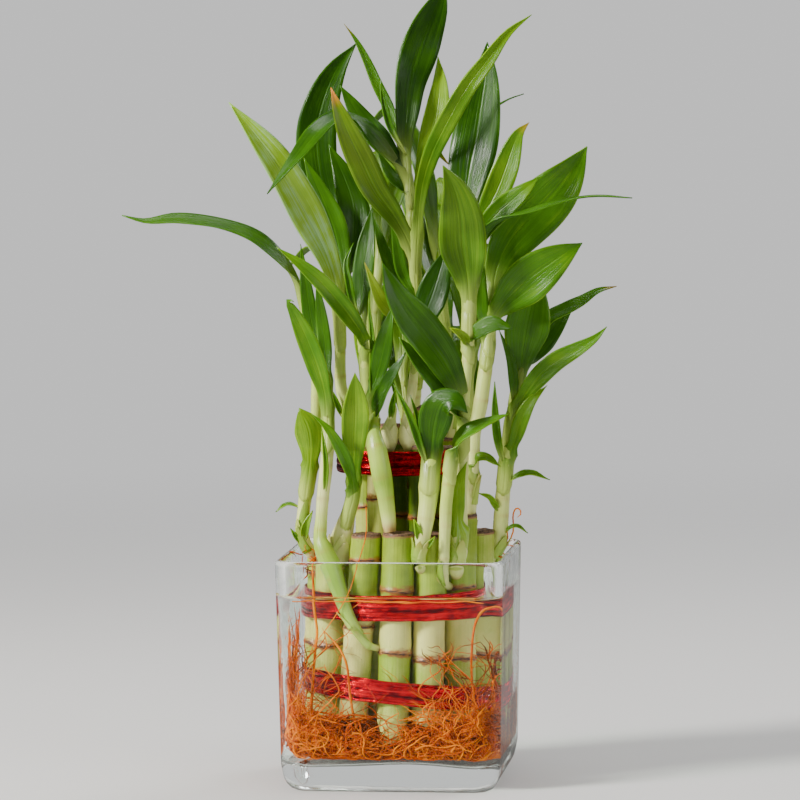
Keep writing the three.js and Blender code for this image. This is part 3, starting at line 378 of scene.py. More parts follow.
def makeCaneSkin():
    finish = Finish("caneSkin")
    u, v = finish.map()
    green, ring, cut = finish.tone()
    place = finish.place()
    fibres = finish.grain(finish.vector(u * caneLook["fibres"], v * 4), 1.0, 3)
    blotches = finish.grain(place, caneLook["blotches"], 4, 0.6)
    specks = finish.grain(place, caneLook["specks"], 2).step(0.66, 0.74)
    level = green + (fibres - 0.5) * 0.35 + (blotches - 0.5) * 0.7
    stops = [(0.0, caneLook["pale"]), (0.55, caneLook["green"]), (1.0, caneLook["deep"])]
    skin = finish.ramp(level, stops)
    speckled = finish.blend(specks * 0.35, skin, caneLook["speck"])
    edge = finish.grain(finish.vector(u * 14, v * 45), 1.0, 4, 0.7)
    fuzz = ring + (edge - 0.5) * ring * 2.4
    rusty = finish.blend(fuzz.step(0.22, 0.62), speckled, caneLook["ring"])
    ringed = finish.blend(fuzz.step(0.72, 0.92), rusty, caneLook["line"])
    wood = finish.grain(place, caneLook["grain"], 3)
    core = finish.blend(wood.step(0.4, 0.65), caneLook["cut"], caneLook["wood"])
    ragged = cut + (edge - 0.5) * cut * 1.8
    rimmed = finish.blend(ragged.step(0.3, 0.5), ringed, caneLook["rim"])
    topped = finish.blend(ragged.step(0.62, 0.8), rimmed, core)
    normal = finish.bump(fibres * 0.5 + specks * 0.3 + wood * cut, 0.0004, 0.8)
    rough = fibres * 0.15 + caneLook["rough"] + cut * 0.35
    principled = finish.skin(Base_Color=topped, Roughness=rough, Normal=normal, Coat_Weight=0.1,
                             Coat_Roughness=0.3, Subsurface_Weight=0.05,
                             Subsurface_Radius=(0.8, 0.8, 0.3), Subsurface_Scale=0.002)
    return finish.done(principled)


foilLook = {"bright": (0.68, 0.0, 0.008), "dark": (0.05, 0.0, 0.002), "rough": 0.2, "creases": 70,
            "folds": 7, "foldDepth": 0.0013}


def makeFoil():
    finish = Finish("redFoil")
    u, v = finish.map()
    creases = finish.grain(finish.vector(u * foilLook["creases"], v * 4), 1.0, 3, 0.6, 0.3)
    folds = finish.grain(finish.vector(u * foilLook["folds"], v * 9), 1.0, 2)
    # painted shade: the foil goes near black where its folds and creases lie, and keeps its own red
    # elsewhere
    shade = (creases * 0.35 + folds * 0.65).step(0.38, 0.6)
    colour = finish.blend(shade, foilLook["dark"], foilLook["bright"])
    normal = finish.bump(creases * 0.7 + folds, foilLook["foldDepth"], 0.9)
    rough = creases * 0.1 + foilLook["rough"]
    return finish.done(finish.skin(Base_Color=colour, Metallic=1.0, Roughness=rough, Normal=normal,
                                   Coat_Weight=0.1, Coat_Roughness=0.06))


rootLook = {"orange": (0.58, 0.07, 0.0), "pale": (0.95, 0.25, 0.0), "brown": (0.10, 0.013, 0.0),
            "sheen": (1, 0.55, 0.15, 1), "rough": 0.45, "patches": 110, "fine": 1500, "broad": 26,
            "darkness": {"Golden": -0.14, "Orange": 0.02, "Deep": 0.13, "Shade": 0.32}}


def makeRoot(tone):
    finish = Finish("root" + tone)
    place = finish.place()
    patches = finish.grain(place, rootLook["patches"], 3)
    fine = finish.grain(place, rootLook["fine"], 2)
    broad = finish.grain(place, rootLook["broad"], 2)
    level = patches * 0.7 + broad * 0.3 + (broad - 0.5) * 0.5 + (fine - 0.5) * 0.4
    level = level - rootLook["darkness"][tone]
    stops = [(0.25, rootLook["brown"]), (0.5, rootLook["orange"]), (0.75, rootLook["pale"])]
    normal = finish.bump(fine, 0.0003, 0.6)
    rough = fine * 0.2 + rootLook["rough"]
    return finish.done(finish.skin(Base_Color=finish.ramp(level, stops), Roughness=rough, Normal=normal,
                                   Specular_IOR_Level=0.3, Specular_Tint=rootLook["sheen"]))


glassLook = {"tint": (0.95, 0.98, 0.96, 1), "bend": 1.47, "shine": 0.2, "waves": 55, "waveDepth": 0.0004}
waterLook = {"tint": (0.98, 0.99, 0.97, 1), "bend": 1.33, "shine": 0.06, "waves": 30, "waveDepth": 0.0001}
lightTurns = {"all": 5.5, "shiny": 2.5}    # after so many turns light goes straight on through glass


def makeClear(name, look):
    # a clear solid; light goes straight on where it only shades or fills, or is long inside the glass
    finish = Finish(name)
    shine = look["shine"]
    normal = finish.bump(finish.grain(finish.place(), look["waves"], 2), look["waveDepth"])
    clear = finish.skin(Base_Color=look["tint"], Roughness=0.0, IOR=look["bend"], Transmission_Weight=1.0,
                        Specular_Tint=(shine, shine, shine, 1), Normal=normal)
    straight = finish.node("ShaderNodeBsdfTransparent", inputs=[look["tint"]])
    shadow, fill, depth, turns = [finish.node("ShaderNodeLightPath", output=kind) for kind in
                                  ("Is Shadow Ray", "Is Diffuse Ray", "Ray Depth", "Glossy Depth")]
    late = depth.over(lightTurns["all"]).most(turns.over(lightTurns["shiny"]))
    passing = late.most(shadow.most(fill))
    return finish.done(finish.node("ShaderNodeMixShader", inputs=[passing, clear, straight]))


leafGreen = makeLeafGreen()
stemGreen = makeStemGreen()
caneSkin = makeCaneSkin()
redFoil = makeFoil()
rootSkins = {tone: makeRoot(tone) for tone in rootLook["darkness"]}
vaseGlass = makeClear("vaseGlass", glassLook)
stillWater = makeClear("stillWater", waterLook)
print("materials made")


# Vase and water: rounded squares stacked on a profile of [half side, height]
vase = {"halfSide": 50.0, "height": 102.0, "wall": 3.0, "floor": 13.0, "corner": 0.16, "draft": 0.0155,
        "waterLevel": 85.3, "around": 160, "innerFoot": 18}


def innerHalf(height):
    return vase["halfSide"] - vase["wall"] - (vase["height"] - height) * vase["draft"]


def squarePoint(u, half):
    # a point on a square with round corners; u goes once round it, from the middle of the right side
    corner = vase["corner"]
    straight, arc = 2 * (1 - corner), corner * math.pi / 2
    side = straight + arc
    travel = (u % 1) * 4 * side + straight / 2
    number, rest = int(travel // side) % 4, travel % side
    if rest < straight:
        x, y = 1, -straight / 2 + rest
    else:
        angle = (rest - straight) / corner
        x, y = 1 - corner + corner * math.cos(angle), 1 - corner + corner * math.sin(angle)
    turnBy = number * math.pi / 2
    return (half * (x * math.cos(turnBy) - y * math.sin(turnBy)),
            half * (x * math.sin(turnBy) + y * math.cos(turnBy)))


def squareSolid(name, material, profile, around, wobble):
    # a closed form over a profile of [half side, height]; wobble(x, y, height) lifts its points
    rows = len(profile) - 1

    def place(u, v):
        half, height = profile[round(v * rows)]
        x, y = squarePoint(u, half)
        return Vector((x, y, height + wobble(x, y, height))) * mm

    piece = rolledGrid(name, around, rows, place)
    tidyMesh(piece)
    return dress(piece, material)


def wavyFloor(x, y, height):    # the thick bottom is uneven inside and nearly flat below
    wave = 0.8 * noiseAt(x * 0.03, y * 0.03, 3.1) + 0.5 * math.cos(x * 0.075)
    inside = smooth(10, 12.6, height) * (1 - smooth(17, 20, height))
    return (1.4 * wave - 1.3) * inside


def makeVase():
    half, top, foot, floor = [vase[key] for key in ("halfSide", "height", "innerFoot", "floor")]
    inner, low = half - vase["wall"], innerHalf(foot)
    profile = [(0, 0), (20, 0), (half - 10, 0), (half - 7.6, 0.35), (half - 5.6, 1.4), (half - 4.1, 3.2),
               (half - 3.1, 5.2), (half - 2.5, 7.6), (half - 2.0, 10.5), (half - 1.7, 14)]
    profile += [(half - 1.7 * (1 - step / 8), 14 + (top - 15.6) * step / 8) for step in range(1, 8)]
    # close rows next to each turn keep the walls' shading flat
    profile += [(half - 0.03, top - 2.4), (half, top - 1.6), (half - 0.25, top - 0.7),
                (half - 0.9, top - 0.1), (half - 1.5, top), (inner + 0.9, top - 0.1),
                (inner + 0.25, top - 0.7), (inner, top - 1.6), (innerHalf(top - 2.4), top - 2.4)]
    profile += [(innerHalf(top - step * 10), top - step * 10) for step in range(1, 9)]
    profile += [(innerHalf(foot + 1), foot + 1), (low, foot), (low - 0.5, 16), (low - 1.6, 14.4),
                (low - 3.4, floor + 0.4), (low - 6, floor), (24, floor), (12, floor), (0, floor)]
    finished(squareSolid("glassVase", vaseGlass, profile, vase["around"], wavyFloor), "vase_glass", "vase")


def makeWater():
    level, foot, floor = [vase[key] for key in ("waterLevel", "innerFoot", "floor")]
    low, edge = innerHalf(foot), innerHalf(level)
    skinDeep = 0.12    # it reaches this far into the glass, so no air shows between them
    profile = [(0, floor - skinDeep), (20, floor - skinDeep), (low - 6, floor - skinDeep),
               (low - 3.4, floor + 0.3), (low - 1.5, 14.3), (low - 0.4, 16), (low + skinDeep, foot),
               (innerHalf(foot + 1) + skinDeep, foot + 1)]
    profile += [(innerHalf(foot + step * 11) + skinDeep, foot + step * 11) for step in range(1, 6)]
    # it creeps up a little at the glass
    profile += [(edge + skinDeep, level + 1.3), (edge + skinDeep, level + 1.5), (edge - 0.3, level + 1.1),
                (edge - 0.8, level + 0.6), (edge - 1.6, level + 0.2), (edge - 3, level),
                (edge - 4.5, level), (30, level), (0, level)]
    finished(squareSolid("vaseWater", stillWater, profile, vase["around"], wavyFloor), "water", "water")


makeVase()
makeWater()
print("vase and water made")


# Canes: on a ring each has its angles at foot and head, in the middle its x and y, and then its
# radius, its top and its joint's height
caneTiers = {
    "cane_outer": {"radius": 35.6, "foot": 22, "canes": [
        (-86, -86, 6.5, 103, 63), (-63.5, -62, 6.6, 100, 63.5), (-38.5, -26, 6.6, 113, 72),
        (-7, -2.5, 7, 113.7, 61.5), (17.5, 21.5, 6.9, 113, 58.5), (45.5, 47, 7, 120.6, 57.5),
        (71, 72, 6.8, 112, 58.5), (96, 97, 6.8, 98, 58), (121.5, 121.5, 6.7, 101, 60),
        (147, 147, 6.9, 98, 64), (172.5, 172.5, 7, 102, 59), (198, 198, 6.8, 98, 62),
        (223.5, 223.5, 6.9, 101, 60), (249, 249, 6.7, 99, 64)]},
    "cane_inner": {"radius": 22.4, "foot": 32, "canes": [
        (-26, -26, 5.4, 151, 127.5), (22, 22, 5.4, 151, 96), (62, 62, 5.2, 149, 118),
        (100, 100, 5.4, 152, 124), (138, 138, 5.3, 150, 120), (176, 176, 5.4, 153, 126),
        (214, 214, 5.3, 150, 121)]},
    "cane_middle": {"foot": 32, "canes": [
        (-1.5, -8, 5, 152, 118), (6.5, 6, 5.2, 166, 130), (-4.2, 4.5, 4.9, 158, 126),
        (-14.6, -9.5, 5, 150, 122), (-14.6, 1.5, 5, 152, 119)]},
}
# how green each cane is under its joint, over it and at its head
caneGreens = {
    "cane_outer_02": (0.3, 0.12, 0.45), "cane_outer_03": (0.02, 0.0, 0.6),
    "cane_outer_04": (0.55, 0.08, 0.65), "cane_outer_05": (0.4, 0.0, 0.6),
    "cane_outer_06": (0.45, 0.12, 0.62), "cane_outer_07": (0.4, 0.12, 0.5),
    "cane_inner_01": (0.4, 0.2, 0.1), "cane_inner_02": (0.7, 0.9, 0.95),
    "cane_middle_01": (0.6, 0.9, 1.0),
}
plainGreens = (0.4, 0.15, 0.55)
caneShape = {"sides": 30, "capRows": 4, "ringRise": 0.6, "ringReach": 1.2, "bevel": 0.8, "nextRing": 26,
             "ringRows": (-4, -2.4, -1.5, -0.9, -0.5, -0.1, 0.3, 0.8, 1.6, 2.8, 4.2),
             "topRows": (-4, -2.6, -1.8, -1.2, -0.8, -0.4, 0)}


def onTier(radius, degrees):
    angle = math.radians(degrees)
    return Vector((bundle["offset"] + radius * math.sin(angle), -radius * math.cos(angle), 0))


def caneHeights(low, top, rings):
    # rows of points: even steps, and close ones round each joint and at the cut top
    close = [ring + offset for ring in rings for offset in caneShape["ringRows"]]
    close += [top + offset for offset in caneShape["topRows"]]
    steps = int((top - low) / 3)
    even = [low + (top - low) * step / steps for step in range(steps)]
    clear = [height for height in even if all(abs(height - other) > 1.2 for other in close)]
    return sorted([height for height in close if low < height <= top] + clear)


def makeCane(name, foot, head, radius, low, top, joint, number):
    greens = caneGreens.get(name, plainGreens)
    second = joint + caneShape["nextRing"] + 5 * math.sin(number * 2.3)    # only a tall cane has it
    rings = [joint, second] if second < top - 6 else [joint]
    heights = caneHeights(low, top, rings)
    capRows = caneShape["capRows"]
    rows = len(heights) - 1 + 2 * capRows

    def ringAt(height, reach):
        return sum(math.exp(-((height - ring) / reach) ** 2) for ring in rings)

    def lean(angle):    # joints aren't quite level or even
        return 0.7 * math.sin(angle + number * 2) + 0.5 * noiseAt(angle * 1.5, number, 0)

    def level(v):
        row = round(v * rows)
        if row < capRows:
            return low, row / capRows, 0
        if row > rows - capRows:
            inward = (row - (rows - capRows)) / capRows
            return top - 0.7 * smooth(0.1, 0.9, inward), 1 - inward, inward
        return heights[row - capRows], 1, 0

    def place(u, v):
        height, reach, cap = level(v)
        angle = u * 2 * math.pi
        x, y = math.cos(angle), math.sin(angle)
        girth = radius + caneShape["ringRise"] * ringAt(height + lean(angle), caneShape["ringReach"])
        girth += 0.25 * ringAt(height - 3, 4)
        girth += 0.3 * noiseAt(x * 1.3, y * 1.3, height * 0.05 + number)
        if cap == 0 and height > top - caneShape["bevel"]:
            girth -= caneShape["bevel"] * 0.4
        girth *= reach
        middle = foot.lerp(head, (height - low) / (top - low))
        rough = 0.5 * noiseAt(x * 2.5, y * 2.5, number + cap * 3) * smooth(top - 1.4, top, height)
        return turned(middle.x + girth * x, middle.y + girth * y, height + rough)

    def tones(u, v):
        height, reach, cap = level(v)
        angle = u * 2 * math.pi
        tilt = lean(angle)
        above = [smooth(ring - 0.5, ring + 0.2, height) * (1 - smooth(ring, ring + 5, height))
                 for ring in rings]
        patch = 0.5 + 0.9 * noiseAt(math.cos(angle) * 1.8, math.sin(angle) * 1.8, number * 3)
        ring = max(ringAt(height + tilt, 0.75), 0.6 * max(above), patch * ringAt(height + tilt, 2.0))
        rim = 0.45 * smooth(top - 2.8, top - 1.6, height) + 0.5 * smooth(top - 1.3, top - 0.7, height)
        over = smooth(joint - 1, joint + 1, height)
        green = greens[0] * (0.3 + 0.7 * smooth(28, 46, height)) * (1 - over)    # paler at the foot
        green += (greens[1] + (greens[2] - greens[1]) * smooth(78, 92, height)) * over
        return green, min(ring, 1), 1 if cap else rim

    piece = rolledGrid(name.replace("_", "."), caneShape["sides"], rows, place, tones)
    tidyMesh(piece)
    finished(dress(piece, caneSkin), "cane_pale" if "outer" in name else "cane_green", name)


def makeCanes():
    number = 0
    for tierName, tier in caneTiers.items():
        for index, (one, two, radius, top, joint) in enumerate(tier["canes"]):
            number += 1
            if "radius" in tier:    # on a ring, its foot and head at angles one and two
                foot, head = onTier(tier["radius"], one), onTier(tier["radius"], two)
            else:    # upright at a place of its own
                foot = head = Vector((one, two, 0))
            name = f"{tierName}_{index + 1:02d}"
            makeCane(name, foot, head, radius, tier["foot"], top, joint, number)


makeCanes()
print("canes made")


# Ribbons
ribbons = {
    "ribbon_lower": {"radius": 42.95, "low": 38.7, "width": 10.3, "slope": -0.1, "pleats": 4},
    "ribbon_upper": {"radius": 42.95, "low": 75.8, "width": 11.2, "slope": 0.008, "pleats": 5},
    "ribbon_inner": {"radius": 28.15, "low": 137.8, "width": 10.6, "slope": 0.0, "pleats": 4},
}
foil = {"thickness": 0.25, "around": 240, "rows": 28, "stand": 0.3, "pleatDepth": 0.36, "crease": 0.14}


def makeRibbon(name, plan):
    def place(u, v):
        angle = u * 2 * math.pi
        ring = Vector((math.cos(angle), math.sin(angle), 0))
        edge = 0.5 * noiseAt(ring.x * 4, ring.y * 4, plan["low"] + v)
        turns = v * plan["pleats"] + 0.7 * noise.noise(ring * 1.6 + Vector((0, 0, plan["low"])))
        pleat = 1 - abs(2 * (turns % 1) - 1) ** 2    # the foil's turns lie over each other
        crease = noiseAt(ring.x * 20, ring.y * 20, v * 3 + plan["low"])
        radius = plan["radius"] + foil["stand"] + foil["pleatDepth"] * pleat + foil["crease"] * crease
        x, y = radius * ring.x, radius * ring.y
        height = plan["low"] + plan["width"] * v + plan["slope"] * x + edge
        return turned(x + bundle["offset"], y, height)

    piece = rolledGrid(name.replace("_", "."), foil["around"], foil["rows"], place)
    tidyMesh(piece, turnOut=False)
    thicken(piece, foil["thickness"] * mm)
    finished(dress(piece, redFoil), "ribbon_foil", name)


for ribbonName, ribbonPlan in ribbons.items():
    makeRibbon(ribbonName, ribbonPlan)
print("ribbons made")


# Roots
roots = {"pad": 40.5, "padAround": 120, "reach": 44.8, "low": 14.0, "top": 31.0, "thin": 0.11,
         "thick": 0.42, "wayRound": 350, "run": 3.3, "climb": 2.7, "deepest": 4.6, "tangled": 980,
         "lying": 190, "climbing": 320, "upright": (0.09, 0.28), "curly": (0.16, 0.34), "floating": 0.24}
strandTones = ("Golden", "Orange", "Deep")
# roots that climb in front of the canes, as [x, depth, z, radius] points
longRoots = [
    [(-38, -33, 20, 0.9), (-39, -35.5, 31, 0.9), (-38, -36.5, 42, 0.9), (-37.4, -37, 51, 0.9),
     (-36.8, -37, 60, 0.8), (-35.6, -37, 66, 0.8), (-37, -37, 72, 0.8), (-37.8, -37, 80, 0.8),
     (-38, -36, 88, 0.8), (-38.4, -35, 95, 0.7)],
    [(-17, -35, 17, 0.9), (-19.8, -40, 26, 0.8), (-21.4, -41.5, 35, 0.8), (-22.2, -41, 44, 0.7),
     (-22.6, -41, 50, 0.7), (-24.6, -41, 56, 0.7), (-28, -40, 61, 0.6), (-33, -39, 66, 0.6)],
    [(-14.6, -38, 121, 0.3), (-13.9, -41, 111, 0.4), (-15.2, -43, 105, 0.45), (-18.7, -43.5, 94.8, 0.5),
     (-21.1, -43.5, 83.8, 0.5), (-28.4, -43.5, 71.7, 0.5), (-36.9, -41, 60.7, 0.5),
     (-41.2, -40, 54.6, 0.45), (-42, -40, 42, 0.4)],
    [(46.5, -4, 103, 0.5), (50.3, -5, 107, 0.5), (51.2, -6, 112, 0.45), (50.2, -6, 117, 0.4),
     (51.5, -6, 121, 0.35), (54, -6, 120.5, 0.3), (54.6, -6, 117.5, 0.3), (52.5, -6, 116.5, 0.25)],
    [(31, -40, 20, 0.9), (32.2, -42, 29, 0.8), (34.2, -42, 35, 0.8), (32.6, -42, 43, 0.8),
     (32.4, -42, 54, 0.8), (33.2, -41, 65, 0.8), (34.7, -38, 71.5, 0.8), (37.4, -35, 75.5, 0.7),
     (41, -32, 78.5, 0.7)],
]


def addStrand(curve, points, radius):    # it thins at its end
    strand = curve.splines.new("NURBS")
    strand.points.add(len(points) - 1)
    strand.order_u = 4
    strand.use_endpoint_u = True
    for item, point in zip(strand.points, points):
        item.co = (*point, 1)
        item.radius = radius
    strand.points[-1].radius = radius * 0.35


def strandPiece(name, runs, tone):
    # many thin strands as one mesh; runs are (points, radius in metres)
    bpy.ops.curve.primitive_nurbs_path_add()
    piece = bpy.context.object
    piece.name = name
    curve = piece.data
    curve.splines.clear()
    curve.bevel_depth = 1.0
    curve.bevel_resolution = 0
    curve.resolution_u = 2
    curve.use_fill_caps = True
    for points, radius in runs:
        addStrand(curve, points, radius)
    pick(piece)
    bpy.ops.object.convert(target="MESH")
    bpy.ops.object.shade_smooth()
    return dress(bpy.context.object, rootSkins[tone])


def mixedStrands(name, runs):    # strands of three tones, turn by turn
    return [strandPiece(name + tone, runs[index::3], tone) for index, tone in enumerate(strandTones)]


def rootSpot(share, inward, height):    # a place near the wall, by its share round the vase
    x, y = squarePoint(share, roots["reach"] - inward)
    return Vector((x, y, height)) * mm


def tangleRuns():    # strands that wander over the sides of the mass
    rand = random.Random(11)
    runs = []
    for number in range(roots["tangled"]):
        share = rand.random()
        height = rand.uniform(roots["low"], roots["top"] - 1)
        heading = rand.uniform(0, 2 * math.pi)
        inward = rand.uniform(0.3, 3.4)
        radius = roots["thin"] + (roots["thick"] - roots["thin"]) * rand.random() ** 1.8
        points = []
        for step in range(rand.randint(8, 17)):
            corner = abs(math.cos(share * 4 * math.pi))
            hills = noiseAt(share * 18, 2.2, number * 0.01)
            ceiling = roots["top"] - 5 + 11 * (1 - corner) + 9 * hills
            inward = min(max(inward + rand.uniform(-1, 1), radius + 0.1), roots["deepest"])
            if height < 20:    # the glass is round there
                inward = max(inward, (20 - height) * 0.55)
            points.append(rootSpot(share, inward, height))
            heading += rand.uniform(-1, 1)
            share += math.cos(heading) * roots["run"] / roots["wayRound"]
            height += math.sin(heading) * roots["climb"]
            if height > ceiling or height < roots["low"] + 0.6:
                heading = -heading
                height = min(max(height, roots["low"] + 0.6), ceiling)
        runs.append((points, radius * mm))
    return runs


def topRuns():    # strands that lie over the mass between the canes and the glass
    rand = random.Random(23)
    runs = []
    for number in range(roots["lying"]):
        share = rand.random()
        inward = rand.uniform(1, 11)
        radius = rand.uniform(roots["thin"], 0.5)
        start = roots["top"] + rand.uniform(-2, 1.5)
        points = []
        for step in range(6):
            hump = 2.6 * math.sin(step / 5 * math.pi) * rand.uniform(0.4, 1.2)
            points.append(rootSpot(share, max(inward, radius + 0.2), start + hump))
            share += rand.uniform(0.004, 0.02)
            inward += rand.uniform(-2.2, 2.2)
        runs.append((points, radius * mm))
    return runs


# curly roots at the foot of a shoot, as the place they start from, their count and their seed
crowns = [((-40, -11, 97), 20, 31), ((46, -5, 102), 10, 45)]


def crownRuns():
    inside = 0.045    # they stay this near the vase's middle while they are below its rim
    runs = []
    for middle, count, seed in crowns:
        rand = random.Random(seed)
        for strand in range(count):
            place = spot(middle) + Vector([rand.uniform(-3, 3) for axis in range(3)]) * mm
            heading = Vector((rand.uniform(-1, 1), rand.uniform(-1, 0.4), rand.uniform(-0.6, 1)))
            points = []
            for step in range(rand.randint(5, 8)):
                points.append(place.copy())
                heading += Vector([rand.uniform(-0.9, 0.9) for axis in range(3)])
                place += heading.normalized() * 2 * mm
                if place.z < vase["height"] * mm:
                    place.x, place.y = [min(max(value, -inside), inside) for value in place.xy]
            runs.append((points, rand.uniform(*roots["curly"]) * mm))
    return runs


def climbingRuns():    # thin strands that stand up from the mass along the glass
    runs = []
    rand = random.Random(5)
    for number in range(roots["climbing"]):
        corner = rand.choice((0.64, 0.862)) + rand.uniform(-0.045, 0.04)    # more at the front corners
        share = corner if number % 2 else rand.random()
        inward = rand.uniform(0.4, 2.0)
        rise = rand.uniform(4, 18) if number % 3 else rand.uniform(16, 46)
        if number % 14 == 1:    # the left side has the tallest ones
            share, rise = rand.uniform(0.56, 0.645), rand.uniform(38, 54)
        radius = rand.uniform(*roots["upright"]) * mm
        steps = 6 + int(rise / 3)
        heading = 0
        points = []
        for step in range(steps):
            height = roots["top"] - 5 + rise * step / steps
            points.append(rootSpot(share, inward, height))
            heading = 0.6 * heading + rand.uniform(-0.007, 0.007)
            share += heading
            if step > 3 and rand.random() < 0.16:    # a side strand
                branch = [points[-1]]
                lift, drift = rand.uniform(-1, 2.5), rand.choice((-1, 1)) * rand.uniform(0.004, 0.009)
                for part in range(1, 5):
                    climb = height + lift * part + rand.uniform(-1, 1)
                    branch.append(rootSpot(share + drift * part, inward, climb))
                runs.append((branch, radius * 0.7))
        runs.append((points, radius))
    return runs


def waterlineRuns():    # two thin roots that float along the front glass
    runs = []
    for start, end, seed in ((0.632, 0.79, 3.1), (0.72, 0.868, 8.4)):
        points = []
        for step in range(31):
            share = start + (end - start) * step / 30
            wave = noiseAt(share * 40, seed, 0)
            points.append(rootSpot(share, -1.2 + 0.2 * wave, vase["waterLevel"] - 0.6 + 1.3 * wave))
        runs.append((points, roots["floating"] * mm))
    return runs


def makeRootPad():
    half = roots["pad"]
    profile = [(0, 13.6), (18, 13.6), (30, 13.6), (half - 6, 13.8), (half - 2.5, 15), (half - 0.8, 17.5),
               (half, 20), (half, 23), (half, 26), (half - 0.6, 28.5), (half - 2, 30.4), (half - 5, 31),
               (half - 10, 31.2), (half - 16, 31.2), (20, 31.2), (10, 31.2), (0, 31.2)]

    def lumps(x, y, height):
        return 0.9 * noiseAt(x * 0.16, y * 0.16, height * 0.2) * smooth(15, 18, height)

    # the pad has the darkest root tone: painted shade in the gaps between the strands
    return squareSolid("rootPad", rootSkins["Shade"], profile, roots["padAround"], lumps)


def makeRoots():
    pad = makeRootPad()
    tangle = mixedStrands("tangle", tangleRuns())
    finished(join("rootTangle", [*tangle, pad]), "root", "root_mass")
    climbing = mixedStrands("climbing", topRuns() + climbingRuns() + crownRuns())
    floating = strandPiece("floating", waterlineRuns(), "Golden")
    thick = [([spot(point) for point in points], points[0][3] * mm * 0.7) for points in longRoots]
    long = strandPiece("longRoots", thick, "Golden")
    finished(join("climbingRoots", [*climbing, long, floating]), "root")


makeRoots()
print("roots made")


# Shoots
leafShape = {"across": 10, "slimAcross": 6, "along": 34, "fewest": 14, "thickness": 0.5, "broad": 0.45,
             "fold": 0.18, "face": (0, -1, 0.2), "wave": 0.09, "slimBelow": 3.5, "rolledBelow": 2.2,
             "wrapsAbove": 2.2, "wrapsWithin": 5, "sheath": 13.0, "opens": 0.2, "claspAngle": 2.5}
stemShape = {"sides": 16, "step": 1.5, "scar": 0.12, "greens": (0.1, 0.3, 0.6)}


def blade(wide, light, rib, yellow=0, rusty=0, **shape):
    # a leaf: its half width, how light, yellow and rusty-tipped it is, and its middle line; its shape
    # may give the side it faces, the share of its length where it is widest, and how deep its fold is
    return {"wide": wide, "tone": (light, yellow, rusty), "rib": rib, **shape}


